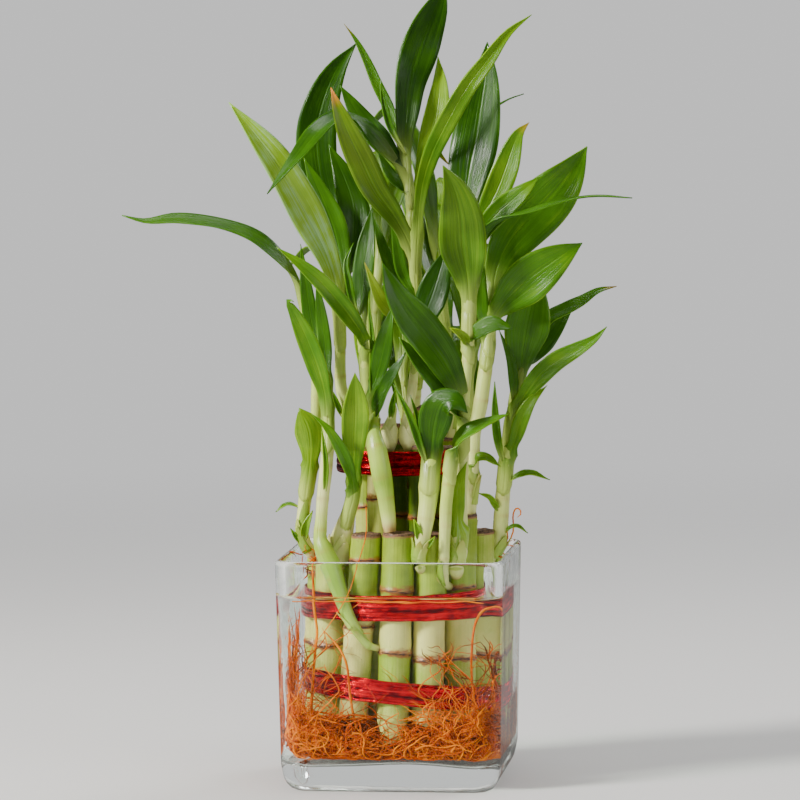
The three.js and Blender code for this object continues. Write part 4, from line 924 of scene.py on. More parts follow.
# a stem's points are [x, depth, z, radius]; its greens go in even steps from its foot to its head
shoots = {
    "shoot_far_left": {
        "stem": [(-36, -6, 98, 2.4), (-40, -8, 102, 2.8), (-42.8, -9, 109, 2.7), (-42.2, -9, 120, 2.9),
            (-40.9, -9, 130, 2.9), (-39.3, -9, 140, 3.1), (-38.4, -8, 150, 3.2), (-37, -6, 160, 2.4),
            (-36.7, -6, 172, 2.2), (-37, -6, 183, 2.1), (-38.5, -7, 195, 2.1), (-41, -8, 207, 2),
            (-44.3, -9, 218, 1.6)],
        "leaves": [
            blade(6.6, 0.32, [(-42, -8, 212), (-46, -10, 222), (-53, -12, 231.5), (-63, -14, 239),
                (-79, -17, 245.5), (-98, -20, 249), (-112, -22, 248), (-122.3, -23, 250.6)],
                face=(0, -0.4, 0.92), broad=0.4),
            blade(6.4, 0.65, [(-39.6, -9, 136), (-39.2, -12, 147), (-40.2, -13.5, 156),
                (-44.2, -13, 165.3)], yellow=0.1, face=(0, -1, 0), fold=-0.3, broad=0.62),
            blade(1.3, 0.55, [(-43, -9, 120.5), (-49.5, -10, 122.3), (-54.7, -11, 119)],
                face=(0, -0.5, 0.85)),
            blade(1.2, 0.55, [(-42, -9, 104), (-45.3, -11, 107.5), (-48.2, -12, 111.6)]),
            blade(2, 0.7, [(-42.2, -9, 104), (-41.5, -13, 112), (-38.3, -14, 119.6)])]},
    "shoot_left_dipping": {
        "greens": (0.2, 0.55, 0.85, 0.75, 0.1, 0.1, 0.3, 0.5),
        "stem": [(-7, -36, 58, 1.3), (-13.5, -39.8, 60, 1.6), (-19, -40.3, 67, 2.4),
            (-23.6, -40.1, 76, 2.9), (-27.2, -39, 86, 3.7), (-30.8, -37, 96, 4.6), (-34, -35, 103.5, 3.8),
            (-35, -34, 107, 3), (-34.5, -33, 115, 2.6), (-33.8, -32, 125, 2.7), (-32.7, -31, 135, 2.8),
            (-31.7, -30, 145, 2.8), (-31.3, -28, 154, 2.6), (-31.6, -26, 165, 2.2), (-32, -23, 178, 1.8)],
        "leaves": [
            blade(4.7, 0.5, [(-31.3, -27, 160), (-32.7, -29, 171), (-36.2, -30, 184), (-41, -31, 196.5),
                (-46, -32, 207), (-49, -35, 213), (-46.5, -38, 212.5)], face=(-0.3, -0.9, 0.3)),
            blade(3, 0.35, [(-31.8, -24, 171), (-32.3, -21, 188), (-34.3, -19, 206), (-36.7, -18, 224)]),
            blade(3.4, 0.3, [(-32, -23, 176), (-38, -17, 199), (-40.5, -15, 215), (-43.5, -14, 238)]),
            blade(1.3, 0.55, [(-33.4, -32, 122), (-32.4, -36, 140), (-34.2, -36, 156)])]},
    "shoot_left_bulb": {
        "greens": (0.0, 0.0, 0.0, 0.3),
        "stem": [(-27, -22, 94, 3.4), (-26.6, -23, 98.5, 5.1), (-26.2, -24, 103, 5.5),
            (-25.2, -25, 108, 4.9), (-23.7, -26, 113.5, 3.8), (-22, -28, 120, 3), (-20.3, -29, 127, 2.5),
            (-19.7, -30, 136, 2.2)],
        "leaves": [
            blade(6, 0.6, [(-20.3, -29, 127), (-20.2, -31, 140), (-19.8, -33, 154), (-19.3, -35, 167),
                (-19.5, -37, 181)], yellow=0.05, face=(0.1, -1, 0.1), broad=0.62),
            blade(2.8, 0.5, [(-20.6, -29, 125), (-21.4, -36, 136), (-26, -38, 147), (-31.5, -38, 156),
                (-38.8, -37, 162.8)], face=(0.2, -1, 0.2))]},
    "shoot_left_inner": {
        "sheathGreens": (0.1, 0.55, 0.8, 0.6, 0.75, 0.9),
        "sheath": [(-4, -35, 110.3, 2.8), (-4.9, -35.5, 118, 3.4), (-5.9, -36, 125.5, 3.7),
            (-7, -36, 132, 4.3), (-8.4, -36, 139.5, 4.5), (-9.7, -35, 146.5, 4.3),
            (-10.8, -33, 152.5, 3.4), (-11, -30, 158, 2.2), (-10.3, -29.5, 164, 1.4)],
        "stem": [(-11.5, -21, 146, 2.4), (-11.8, -22, 155, 2.8), (-13, -23, 165, 2.7),
            (-14.5, -23, 178, 2.4), (-15.5, -22, 190, 2.2), (-16.5, -20, 200, 2), (-17, -18, 208, 1.6)],
        "leaves": [
            blade(4.8, 0.25, [(-16.8, -19, 203), (-16.5, -17, 216), (-15.2, -15, 230), (-13.5, -13, 243),
                (-12, -12, 254)], face=(-0.2, -0.9, 0.3)),
            blade(4.2, 0.55, [(-15.4, -22, 187), (-15.5, -30, 195.5), (-20.5, -36, 204),
                (-27.5, -40, 213), (-35, -42, 221.5), (-43.5, -43, 229), (-54.2, -43, 236.6)],
                face=(0, -1, 0.3), fold=0.3),
            blade(1.4, 0.5, [(-12, -22, 157), (-11.9, -26, 170), (-11.7, -27, 184), (-11.9, -26, 197),
                (-13.2, -24, 210), (-13, -23, 217)]),
            blade(4.6, 0.25, [(-13.4, -23, 168), (-9.7, -29, 180), (-7, -31, 191), (-4.6, -32, 202),
                (-2.4, -32, 211)], face=(-0.3, -0.8, 0.4)),
            blade(3.8, 0.15, [(-12.2, -22, 157), (-10.5, -30, 164), (-6, -35, 174), (-1.2, -38, 183),
                (3, -39, 190)], face=(-0.4, -0.7, 0.5)),
            blade(1.7, 0.4, [(-16.5, -20, 201), (-20.2, -21, 212), (-22.4, -21, 222), (-23.4, -20, 230),
                (-20, -19, 238.6)])]},
    "shoot_left_tall": {
        "stem": [(-16, -9.5, 147, 2.6), (-18.8, -11, 154, 2.9), (-22.7, -13, 163.5, 2.7),
            (-25.6, -14, 175, 2.6), (-26, -14, 188, 2.4), (-26.2, -13, 200, 2.4), (-27, -12, 212, 2.2),
            (-27.4, -11, 222, 1.6)],
        "leaves": [
            # so light that it reaches the painted sheen of the palest stop: its broad shine is painted
            blade(8.3, 0.88, [(-26.6, -13, 206), (-28, -15, 220), (-31.5, -18, 232), (-37, -21, 244),
                (-44.5, -24, 258), (-53.5, -26, 273), (-64, -27, 287), (-75, -26, 300.5)],
                face=(0.15, -0.85, 0.5), broad=0.5),
            blade(6, 0.38, [(-27, -12, 212), (-25.8, -9, 228), (-28.5, -6, 243), (-34, -4, 258),
                (-42, -2, 276)], face=(0.2, -0.9, 0.3)),
            blade(7.4, 0.2, [(-27.2, -11, 218), (-20.5, -3, 238), (-20.5, 2, 255), (-25, 6, 269),
                (-31, 9, 282)], face=(0.2, -0.9, 0.2)),
            blade(9, 0.13, [(-27.3, -11, 215), (-26.5, 4, 234), (-31, 12, 254), (-35.5, 15, 271),
                (-36.5, 17, 288), (-33, 18, 303), (-27.5, 18, 315), (-18.8, 18, 326.4)],
                face=(0.1, -0.95, 0.1), broad=0.6),
            blade(1.3, 0.5, [(-24.5, -13.5, 160), (-27.6, -17, 167.5), (-30.2, -18, 174)])]},
    "shoot_bud_left": {
        "greens": (0.0, 0.0, 0.5),
        "stem": [(-5.4, -20.5, 146.5, 2.8), (-4.6, -21.5, 151.5, 3.9), (-4.2, -22, 155.5, 3.5),
            (-3.2, -22, 161, 1.9), (-1.4, -21.5, 166.5, 0.9)],
        "leaves": [
            blade(1.6, 0.5, [(-4, -22, 158), (-3, -25, 166), (-1.5, -27, 174)])]},
    "shoot_bud_right": {
        "greens": (0.0, 0.0, 0.5),
        "stem": [(5.5, -21, 146.5, 2.5), (3.9, -22, 151.5, 3.6), (3.5, -22.5, 156, 3.1),
            (4.2, -22, 163, 2.1), (6, -21, 175, 2), (7.4, -20, 188, 1.9), (9, -18, 200, 1.5)],
        "leaves": [
            # a dark leaf set in a hollow of deep shade between the leaves: its near-black tone is painted
            # shade
            blade(7, 0.1, [(8.4, -19, 196), (12.5, -20, 209), (17, -20, 222), (21, -19, 236)],
                face=(-0.1, -0.9, 0.2)),
            blade(1.6, 0.6, [(8.8, -18.5, 199), (13, -12, 214), (16.5, -8, 228), (17.2, -6, 236)])]},
    "shoot_centre": {
        "stem": [(6.3, 5, 161, 2.9), (7, 2, 172, 2.9), (8, -3, 185, 2.8), (8.3, -7, 200, 2.7),
            (7.8, -10, 215, 2.6), (6.8, -12, 228, 2.4), (6.2, -13, 240, 2.1), (5.5, -12, 252, 1.9),
            (4, -9, 266, 1.6), (3, -6, 278, 1.3)],
        "leaves": [
            blade(6.4, 0.32, [(6.7, -12, 229), (4, -16, 239), (-2, -20, 250), (-10.5, -25, 262),
                (-16.3, -29, 274), (-22, -32, 286), (-26.5, -33, 297), (-30, -33, 307)], yellow=0.17,
                rusty=1, face=(0, -1, 0.25), broad=0.55),
            blade(4.4, 0.6, [(6.9, -12, 227), (7.8, -16, 240), (8.6, -17, 252), (10.2, -17, 264),
                (13.6, -19, 276), (18.6, -22, 287), (24.5, -24, 298), (30.5, -25, 308),
                (38.5, -25, 318.5), (48, -24, 331), (58.5, -22, 339)], face=(0.25, -0.95, 0), broad=0.55),
            blade(5.4, 0.22, [(4.2, -9, 264), (-5, -8, 278), (-16, -11, 290), (-26, -18, 294),
                (-35, -27, 288), (-44, -33, 277.5), (-52, -35, 268), (-58.2, -36, 260)],
                face=(-0.3, -0.6, 0.75), broad=0.5),
            blade(5.2, 0.17, [(3.8, -8, 268), (-8, -3, 283), (-17, 0, 294), (-26, 2, 308)],
                face=(0, -0.9, 0.4)),
            blade(8.7, 0.17, [(3.6, -8, 270), (2.3, -2, 284), (3.2, 1, 296), (4.7, 3, 309), (8, 4, 321),
                (11.7, 5, 332), (16, 5, 342), (20.6, 5, 353)], face=(0.35, -0.94, 0), broad=0.66),
            blade(2.5, 0.4, [(3.2, -7, 275), (-1, 2, 288), (-4.5, 6, 298), (-9.5, 8, 308),
                (-14, 9, 318.5), (-19, 9, 328), (-24.2, 9, 335)], rusty=0.3),
            blade(1.7, 0.35, [(3.2, -7, 277), (-3.5, -5, 289), (-6.5, -4, 299), (-8.3, -4, 310.5)]),
            blade(2.4, 0.2, [(4.6, -10, 259), (-3, -6, 268), (-9.5, -4, 279)]),
            # lighter for a painted glow, as where light shines through the blade from behind
            blade(5.8, 0.75, [(5.6, -12, 251), (10.6, -3, 268), (14.3, 3, 284), (17, 7, 298),
                (18, 8, 309), (17.2, 8, 320.5)], face=(0, -1, 0.1), broad=0.55),
            blade(2.8, 0.45, [(8, -8.5, 207), (-1.5, -9, 223), (-6, -9, 234), (-9.5, -8, 244),
                (-12.5, -6, 252)]),
            blade(2.9, 0.35, [(7.9, -9.5, 212), (1.5, -13, 226), (-1, -15, 238), (-3.7, -15, 248.5)]),
            blade(3.2, 0.7, [(8.3, -7, 199), (-1, -18, 206), (-7, -23, 212), (-11, -26, 220),
                (-15.2, -28, 229.8)], yellow=0.25, rusty=0.3)]},
    "shoot_front_left": {
        "stem": [(11, -36, 92, 2.2), (8.6, -41.6, 98, 2.9), (9.6, -42.3, 104, 3.2), (11.4, -42, 112, 3.5),
            (12.8, -41, 122, 4), (13.4, -40, 131, 4.6), (14, -39, 138, 4.2), (14.5, -38, 145, 3.6),
            (15.2, -38, 151, 3)],
        "leaves": [
            blade(7.4, 0.2, [(14.4, -38, 142), (14.8, -42, 151), (16, -46, 160), (19, -50, 167.5),
                (24.5, -52, 168.5), (30.5, -52, 163)], face=(0, -0.9, 0.3), fold=0.1, broad=0.5),
            blade(1.8, 0.65, [(9.8, -42.5, 104), (8.6, -45, 110), (6.6, -46, 115.8)]),
            blade(1.4, 0.6, [(10, -42.5, 102), (13.8, -45.5, 105), (16, -46, 108)]),
            blade(1.8, 0.4, [(13.8, -39.5, 135), (9.2, -43, 149), (4.6, -44, 162), (-2.6, -44, 176)]),
            blade(1.3, 0.35, [(14, -39, 138), (9.8, -41, 150), (8.4, -41, 160), (5, -41, 171)])]},
    "shoot_front_middle": {
        "stem": [(23.5, -28.5, 85.5, 1.5), (20.6, -34.5, 86.5, 2), (19.8, -38.8, 92, 2.3),
            (20, -40.4, 100, 2.5), (20.4, -42.5, 110, 2.6), (20.8, -44, 120, 2.7), (21.8, -44, 130, 2.8),
            (22.9, -43, 140, 2.8), (24.4, -42, 148, 2.5)],
        "leaves": [
            blade(4, 0.5, [(23.8, -42, 144), (26.6, -44, 151), (31.5, -46, 155), (38.5, -47, 158.8),
                (48.6, -47, 162.6)], face=(-0.3, -0.6, 0.7), broad=0.35)]},
    "shoot_front_right": {
        "stem": [(26, -28, 90, 2.8), (25.2, -33, 95, 4), (26, -35, 101, 4.4), (26.8, -35.5, 110, 3.6),
            (27, -35.5, 120, 3.3), (27.1, -35.5, 129, 3.3), (28, -35, 138, 2.8), (28.5, -34.5, 148, 2.5),
            (28.4, -34, 158, 2.4), (28.9, -34, 169, 2.3), (30, -33, 181, 2.3), (30.6, -31, 193, 2.6),
            (30.9, -29, 205, 2.8), (31, -27, 217, 2.7), (30.5, -24, 229, 2.3), (30.3, -21, 241, 1.8),
            (31, -18, 252, 1.4)],
        "leaves": [
            blade(3.4, 0.8, [(26.6, -36, 108), (25.9, -40, 121), (26.8, -41, 132), (30.2, -40, 141.5)],
                face=(-0.2, -1, 0.1), fold=-0.2),
            blade(10.4, 0.42, [(31, -28, 212), (30.2, -32, 224), (28.2, -36, 238), (27.4, -40, 250),
                (24.6, -44, 262), (19.4, -48, 272.6)], yellow=0.1, face=(0, -1, 0.15), broad=0.45),
            blade(10.6, 0.14, [(30.4, -22, 238), (29.3, -19, 254), (31, -17, 270), (33.6, -15, 283),
                (35.8, -14, 297), (38.2, -13, 313), (38.9, -12, 327)], face=(-0.2, -1, 0.1), broad=0.5),
            # lighter for a painted glow, as where light shines through the blade from behind
            blade(5.8, 0.6, [(30.4, -23, 233), (37, -23, 249), (43.4, -23, 262), (47.2, -23, 272),
                (50.3, -23, 281), (53, -24, 287), (57.4, -25, 291.6)], rusty=0.4, face=(0.1, -0.95, 0.2),
                broad=0.55),
            blade(4.9, 0.5, [(30.6, -25, 227), (36, -29, 241.5), (42, -32, 250), (48.5, -34, 256),
                (55.5, -35, 262), (61.8, -35, 267.6)], face=(0.1, -0.95, 0.3), broad=0.6),
            blade(5, 0.3, [(31, -27, 219), (36.5, -32, 238), (41.5, -36, 245.5), (47, -39, 249),
                (56, -42, 251.5), (70, -44, 256.2), (85, -45, 258.8), (103, -46, 258.3)],
                face=(0, -0.1, 1), broad=0.4),
            blade(2.4, 0.25, [(31, -18, 251), (35, -8, 275), (41, -5, 296), (48, -4, 301.5),
                (55, -4, 304.2)], face=(0, -0.1, 1)),
            blade(8.8, 0.3, [(28.4, -34, 160), (26.5, -39, 172), (20.5, -45, 185), (13, -50, 195.5),
                (5.5, -54, 205), (-1.5, -57, 216), (-7.4, -59, 229.6)], face=(0.1, -0.9, 0.4),
                broad=0.52),
            blade(5.2, 0.25, [(28.5, -34, 156), (24, -38, 167), (16.5, -43, 177.5), (8.5, -47, 186.5),
                (0, -50, 196.6)], face=(0.2, -0.85, 0.5)),
            blade(2.1, 0.6, [(30.6, -31, 192), (28.5, -36, 197), (22.3, -38, 201)], yellow=0.2),
            blade(4.2, 0.35, [(30.7, -30, 195), (36.5, -35, 200.5), (42.5, -37, 202.3),
                (50.4, -38, 200.3)], face=(0, -0.9, 0.5))]},
    "shoot_right_tall": {
        "stem": [(31.2, -24, 114, 1.9), (31.8, -24, 119.5, 2.4), (32.4, -24, 127, 2.6),
            (32.8, -24, 136, 2.6), (33.3, -23, 146, 2.5), (33.7, -22, 154, 2.6), (34.6, -21, 159.5, 3),
            (36, -20.5, 166, 3.2), (37.6, -19.5, 178, 3.1), (39.2, -18, 190, 2.9), (40, -16, 200, 2.6),
            (40.6, -14, 210, 2.3), (41, -12, 220, 1.7)],
        "leaves": [
            blade(2.4, 0.6, [(32.9, -24, 139), (34.8, -27, 143), (38.6, -28, 143.2), (45, -29, 139.3)],
                face=(0.1, -0.7, 0.7)),
            blade(9.9, 0.48, [(40.2, -15.5, 203), (45.3, -20, 210.5), (51.8, -24, 217.5),
                (59.6, -27, 224.3), (69, -29, 231), (81, -30, 238.4)], face=(0.35, -0.92, 0.2),
                broad=0.48),
            # lighter for a painted glow, as where light shines through the blade from behind
            blade(12, 0.45, [(40.7, -13.5, 212), (42.3, -11, 224.5), (47.5, -9, 237), (55.2, -8, 247),
                (65, -8, 257), (74.2, -9, 268), (83, -10, 281)], face=(0.3, -0.9, 0.2), broad=0.55),
            blade(2.8, 0.35, [(39.6, -17, 195), (37, -17.5, 207), (36.6, -17.5, 218),
                (37.6, -17, 230)])]},
    "shoot_far_right": {
        "stem": [(38, 1, 91, 2.8), (41, -3, 96, 3.2), (42.6, -5, 101.5, 3.4), (44.6, -6, 107, 3.6),
            (45.3, -6, 115, 3.4), (45.9, -6, 125, 3.2), (47, -6, 135, 3.1), (48.3, -6, 147, 3),
            (50, -6, 160, 2.8), (52, -6, 172, 2.7), (54, -6, 184, 2.2)],
        "leaves": [
            blade(9.8, 0.38, [(53, -6, 178), (54.3, -9, 188), (56, -11, 199), (58.4, -12, 210),
                (62.5, -12, 224)], face=(0.1, -1, 0.1), broad=0.5),
            blade(5.6, 0.28, [(53.7, -6, 182), (60, -1, 190), (66, 2, 199), (72, 3, 207), (79, 3, 214)],
                face=(0.2, -0.9, 0.3)),
            blade(3.5, 0.35, [(53.6, -6, 181), (60, -4, 195), (66, -6, 205), (74, -7, 209.4),
                (81, -7, 213), (88, -6, 217.3), (96.2, -5, 219.3)], rusty=0.4, face=(-0.2, -0.8, 0.6)),
            blade(4.5, 0.5, [(50, -6, 159), (54, -11, 168.5), (60.5, -15, 177.5), (69, -17, 185.5),
                (79, -18, 191.3), (86.5, -18, 196), (92, -18, 201.4)], face=(0.2, -0.9, 0.4), broad=0.45),
            blade(3.4, 0.55, [(48, -6, 142), (51.3, -11, 151), (54.2, -13, 160), (58.4, -14, 168),
                (65.8, -14, 175.5)]),
            blade(2, 0.5, [(47.3, -6, 137), (43.9, -11, 150), (42.6, -11, 163), (42.4, -10, 177)]),
            blade(2.2, 0.3, [(50.8, -6, 162), (51, -11, 174), (49.3, -12, 187), (44.3, -12, 200)]),
            blade(1.5, 0.65, [(45.5, -6, 118), (42.6, -9.5, 122), (40.2, -10.5, 125.5),
                (35.3, -11, 127.3)]),
            blade(1.9, 0.55, [(46.7, -6, 131), (52.5, -9, 134.8), (58.6, -10, 136), (67, -10, 133.3)],
                face=(0, -0.7, 0.7)),
            blade(1.2, 0.6, [(45.5, -7, 108), (49.7, -9.5, 112), (53, -10.5, 112.5), (57.2, -11, 109.5)],
                face=(0, -0.7, 0.7))]},
}


def backShoot(tierName, cane, seed, rise, lean, away, count):
    # one rule with seeded draws, as in the part's source; its points are true places of the bundle
    tier = caneTiers[tierName]
    headAngle, top = [tier["canes"][cane - 1][column] for column in (1, 3)]
    foot = onTier(tier["radius"], headAngle)
    draw = draws(seed)
    angle = math.radians(lean)
    heading = (math.sin(angle), -math.cos(angle))

    def along(share):
        out = away * share * share
        return foot.x + heading[0] * out, foot.y + heading[1] * out, top - 5 + rise * share

    stem = [(*listed(*along(row / 4)), 2.6 - 1.2 * row / 4) for row in range(5)]
    leaves = []
    for number in range(count):
        share = 0.5 + 0.48 * number / (count - 1)
        x, depth, z = along(share)
        swing = (1 if number % 2 else -1) * (8 + 30 * next(draw))
        turn = angle + math.radians(swing)
        length = 52 + 26 * next(draw)
        climb = 0.35 + 0.4 * share * next(draw) + 0.3 * share
        out = (math.sin(turn), -math.cos(turn))
        rib = []
        for reach, height in ((0, 0), (0.28, 0.34), (0.62, 0.5), (1, 0.42)):
            flat = reach * length * (1.15 - climb * 0.6)
            rib.append(listed(x + out[0] * flat, depth + out[1] * flat, z + height * length * climb * 2))
        face = (-0.6 * out[0], -0.6 * out[1], 1)
        leaves.append({"wide": 5.5 + 2.5 * next(draw), "face": face, "rib": rib})
    return {"stem": stem, "leaves": leaves}


# shoots behind: the cane that each stands on, its seed, rise, lean in degrees, reach and leaf count
backPlans = {
    "shoot_back_01": ("cane_outer", 9, 781, 96, 181, 6, 4),
    "shoot_back_02": ("cane_outer", 10, 199, 122, 191, 23, 5),
    "shoot_back_03": ("cane_outer", 11, 1945, 90, 198, 18, 4),
    "shoot_back_04": ("cane_outer", 12, 1169, 128, 196, 21, 5),
    "shoot_back_05": ("cane_inner", 4, 199, 84, 206, 13, 4),
    "shoot_back_06": ("cane_inner", 7, 1460, 90, 160, 10, 4),
}
for shootName, backPlan in backPlans.items():
    shoots[shootName] = backShoot(*backPlan)


class Stalk:
    # a stem's middle line and radii, which its leaves and scales are set against
    def __init__(self, points):
        self.run = Run([spot(point) for point in points])
        self.radii = [point[3] for point in points]
        self.knots = self.run.knotShares()
        self.length = self.run.lengths[-1]

    def radius(self, share):
        return spread(self.knots, self.radii, share) * mm

    def nearest(self, place):    # the share that is nearest to a place, and its distance
        nearest = min(range(101), key=lambda step: (self.run.at(step / 100) - place).length)
        return nearest / 100, (self.run.at(nearest / 100) - place).length


def widthAt(v, broad, slim):    # share of the half width along a blade, before its base is wrapped
    if v < broad:
        return 0.3 + 0.7 * smooth(0, 1, v / broad)
    rest = (v - broad) / (1 - broad)
    return max((1 - rest ** 2.1) ** (1.25 if slim else 1.1), 0.012)


def pushOff(stalk, place, facing):
    # how far a blade's middle has to move along its facing to lie over its stem
    near = stalk.nearest(place)[0]
    radius = stalk.radius(near) + 0.4 * mm
    apart = place - stalk.run.at(near)
    apart -= stalk.run.along(near) * apart.dot(stalk.run.along(near))
    ahead = apart.dot(facing)
    beside = (apart - facing * ahead).length
    if near > 0.985 or ahead > radius:
        return 0
    return max(radius - max(ahead, 0), 0) * (1 - smooth(radius * 0.7, radius * 1.8, beside))


class LeafForm:
    # the form of one leaf: how it leaves its stalk, which way it faces, and how it folds and waves
    def __init__(self, plan, stalk, number):
        self.number = number
        self.wide = plan["wide"] * mm
        self.slim = plan["wide"] < leafShape["slimBelow"]
        self.broad, self.fold = [plan.get(key, leafShape[key]) for key in ("broad", "fold")]
        self.hint = turned(*plan.get("face", leafShape["face"])).normalized()
        self.rolled = 0.9 if plan["wide"] < leafShape["rolledBelow"] else 0.12
        self.waveCount = 2.2 + number % 3 * 0.7
        points = [spot(point) for point in plan["rib"]]
        start, gap = stalk.nearest(points[0])
        self.girth = stalk.radius(start) + 0.35 * mm
        self.wraps = plan["wide"] > leafShape["wrapsAbove"] and gap < leafShape["wrapsWithin"] * mm
        sheath = 0
        if self.wraps:    # the blade starts as a sheath round its stem
            sheath = min(leafShape["sheath"] * mm, 0.3 * Run(points).lengths[-1], start * stalk.length)
            low = start - sheath / stalk.length
            points = [stalk.run.at(share) for share in (low, (low + start) / 2, start)] + points[1:]
        self.run = Run(points)
        self.sheathShare = sheath / self.run.lengths[-1]
        self.setBase()
        length = int(self.run.lengths[-1] / mm / 2)
        self.rows = max(leafShape["fewest"], min(leafShape["along"], length))
        self.pushes = [pushOff(stalk, self.run.at(row / self.rows), self.hint) * (self.sign < 0)
                       for row in range(self.rows + 1)]

    def setBase(self):    # the base turns with a leaf that leaves sideways, and clasps from behind
        look = 0.3    # how much of the leaf is read for this
        leave = self.run.at(min(self.sheathShare + look, 1)) - self.run.at(self.sheathShare)
        upward = self.run.along(self.sheathShare)
        leave = leave - upward * leave.dot(upward)
        far = leave.length > look * (look * self.run.lengths[-1])
        sideways = self.wraps and far and abs(leave.normalized().dot(self.hint)) < 0.8
        self.baseNormal = -leave.normalized() if sideways else self.hint
        self.sign = 1 if sideways or not self.wraps else -1
        self.opens = self.sheathShare + (leafShape["opens"] if self.wraps else 0.08)
        self.baseReach = self.girth * leafShape["claspAngle"] if self.wraps else self.wide * 0.4
        self.baseBend = leafShape["claspAngle"] if self.wraps else 1.2

    def place(self, u, v):
        across = 2 * u - 1
        along = self.run.along(v)
        closed = 1 - smooth(self.sheathShare * 0.8, self.opens, v)
        facing = self.hint.lerp(self.baseNormal, closed)
        normal = (facing - along * facing.dot(along)).normalized()
        side = along.cross(normal)
        part = max((v - self.sheathShare) / (1 - self.sheathShare), 0)
        reach = self.wide * widthAt(part, self.broad, self.slim)
        reach += (self.baseReach - reach) * closed
        bend = self.sign * self.baseBend * closed + self.rolled * (1 - closed)
        bend = bend if abs(bend) > 0.02 else 0.02
        ring = reach / bend
        out = ring * math.sin(across * bend)
        rise = ring * (1 - math.cos(across * bend))
        slant = 0
        if self.wraps:
            push = self.girth * (1 if v > 0.004 else 0.93)
            rise -= self.sign * max(push * closed, self.pushes[round(v * self.rows)])
            slant = 3.2 * mm * math.cos(across * math.pi) * closed * (1 - v / self.opens)
        vee, wave, droop = self.ripples(across, v, reach, closed)
        return self.run.at(v) + side * out + normal * (rise + vee + wave + droop) - along * slant

    def ripples(self, across, v, reach, closed):    # the blade's fold, wavy edge and droop
        vee = reach * self.fold * (math.sqrt(across * across + 0.02) - 0.14) * (1 - closed)
        swing = math.sin(v * math.pi * 2 * self.waveCount + 2.6 * (across > 0) + self.number)
        wave = reach * leafShape["wave"] * swing
        wave *= across * across * smooth(0.25, 0.45, v) * (1 - smooth(0.85, 1, v))
        droop = -0.12 * reach * across * across * math.sin(v * 9 + self.number * 1.7) * smooth(0.2, 0.5, v)
        return vee, wave, droop


def makeLeaf(name, plan, tone, stalk, number):
    form = LeafForm(plan, stalk, number)
    columns = leafShape["slimAcross"] if form.slim else leafShape["across"]
    leaf = rolledGrid(name, columns, form.rows, form.place, lambda u, v: tone)
    thicken(leaf, leafShape["thickness"] * mm)
    return dress(leaf, leafGreen)


def makeScale(name, stalk, plan):    # a small dry scale that clasps the stem low down
    share = plan["share"]
    high = min(share + plan["height"] / (stalk.length / mm), 1)

    def place(u, v):
        here = share + (high - share) * v
        middle, along = stalk.run.at(here), stalk.run.along(here)
        front = turned(math.cos(plan["turn"]), math.sin(plan["turn"]), 0).normalized()
        front = (front - along * front.dot(along)).normalized()
        side = along.cross(front)
        angle = (2 * u - 1) * plan["halfAngle"] * (1 - v) ** 0.7
        radius = stalk.radius(here) + (0.25 + plan["flare"] * v ** 3) * mm
        return middle + (front * math.cos(angle) + side * math.sin(angle)) * radius

    def tones(u, v):
        return plan["green"], plan["rusty"] * smooth(0.4, 1, v), 0

    scale = rolledGrid(name, 8, 8, place, tones)
    thicken(scale, 0.3 * mm)
    return dress(scale, stemGreen)


def stemFrames(run, rows):    # frames carried along the run, so that the tube isn't twisted
    frames = []
    side = run.along(0).orthogonal().normalized()
    for row in range(rows + 1):
        along = run.along(row / rows)
        side = (side - along * side.dot(along)).normalized()
        frames.append((run.at(row / rows), side, along.cross(side)))
    return frames


def makeStem(name, stalk, leaves, greens, number):
    wrapped = [stalk.nearest(spot(leaf["rib"][0])) for leaf in leaves
               if leaf["wide"] > leafShape["wrapsAbove"]]
    within = leafShape["wrapsWithin"] * mm
    last = max([share for share, gap in wrapped if gap < within] or [1])    # the top leaf hides the rest
    length = stalk.length / mm
    rows = max(12, int(length / stemShape["step"]))
    frames = stemFrames(stalk.run, rows)
    rand = random.Random(number)
    scars = []
    travel = rand.uniform(2, 5)
    while travel < length - 4:
        scars.append(travel)
        travel += rand.uniform(6, 17)

    def ringAt(v):
        return max([math.exp(-((v * length - scar) / 0.9) ** 2) for scar in scars] or [0])

    def place(u, v):
        row = round(v * rows)
        middle, side, other = frames[row]
        radius = stalk.radius(row / rows)
        radius *= 1 + 0.05 * noiseAt(u * 3, v * length * 0.12, number)
        radius += stemShape["scar"] * mm * ringAt(v)
        radius *= 1 - 0.8 * smooth(last, last + 0.05, v)
        if row == rows:
            radius *= 0.15
        angle = u * 2 * math.pi
        return middle + (side * math.cos(angle) + other * math.sin(angle)) * radius

    shares = [step / (len(greens) - 1) for step in range(len(greens))]

    def tones(u, v):
        scar = ringAt(v) * (0.2 + 0.4 * noiseAt(u * 4, v * 30, number))
        foot = (1 - smooth(1, 6, v * length)) * (0.7 + 0.5 * noiseAt(u * 5, number, 0))
        return spread(shares, greens, v), max(scar, foot, 0), 0

    piece = rolledGrid(name + "Stem", stemShape["sides"], rows, place, tones)
    tidyMesh(piece)
    return dress(piece, stemGreen)


def scalePlan(name, index, rand):    # broad pale scales on a bud, small drawn ones elsewhere
    bud = "bud" in name
    plan = {"halfAngle": 1.9 if bud else 1.0, "flare": 0.4 if bud else 1.3}
    plan["share"] = 0.02 if bud else rand.uniform(0.03, 0.14)
    plan["turn"] = -2.2 + index * 1.3 if bud else rand.uniform(-math.pi, 0)
    plan["height"] = 11 + index if bud else rand.uniform(8, 14)
    green = rand.uniform(0.0, 0.3) if "bulb" in name else rand.uniform(0.4, 0.9)
    plan["green"], plan["rusty"] = (0.0, 0) if bud else (green, rand.uniform(0.1, 0.5))
    return plan


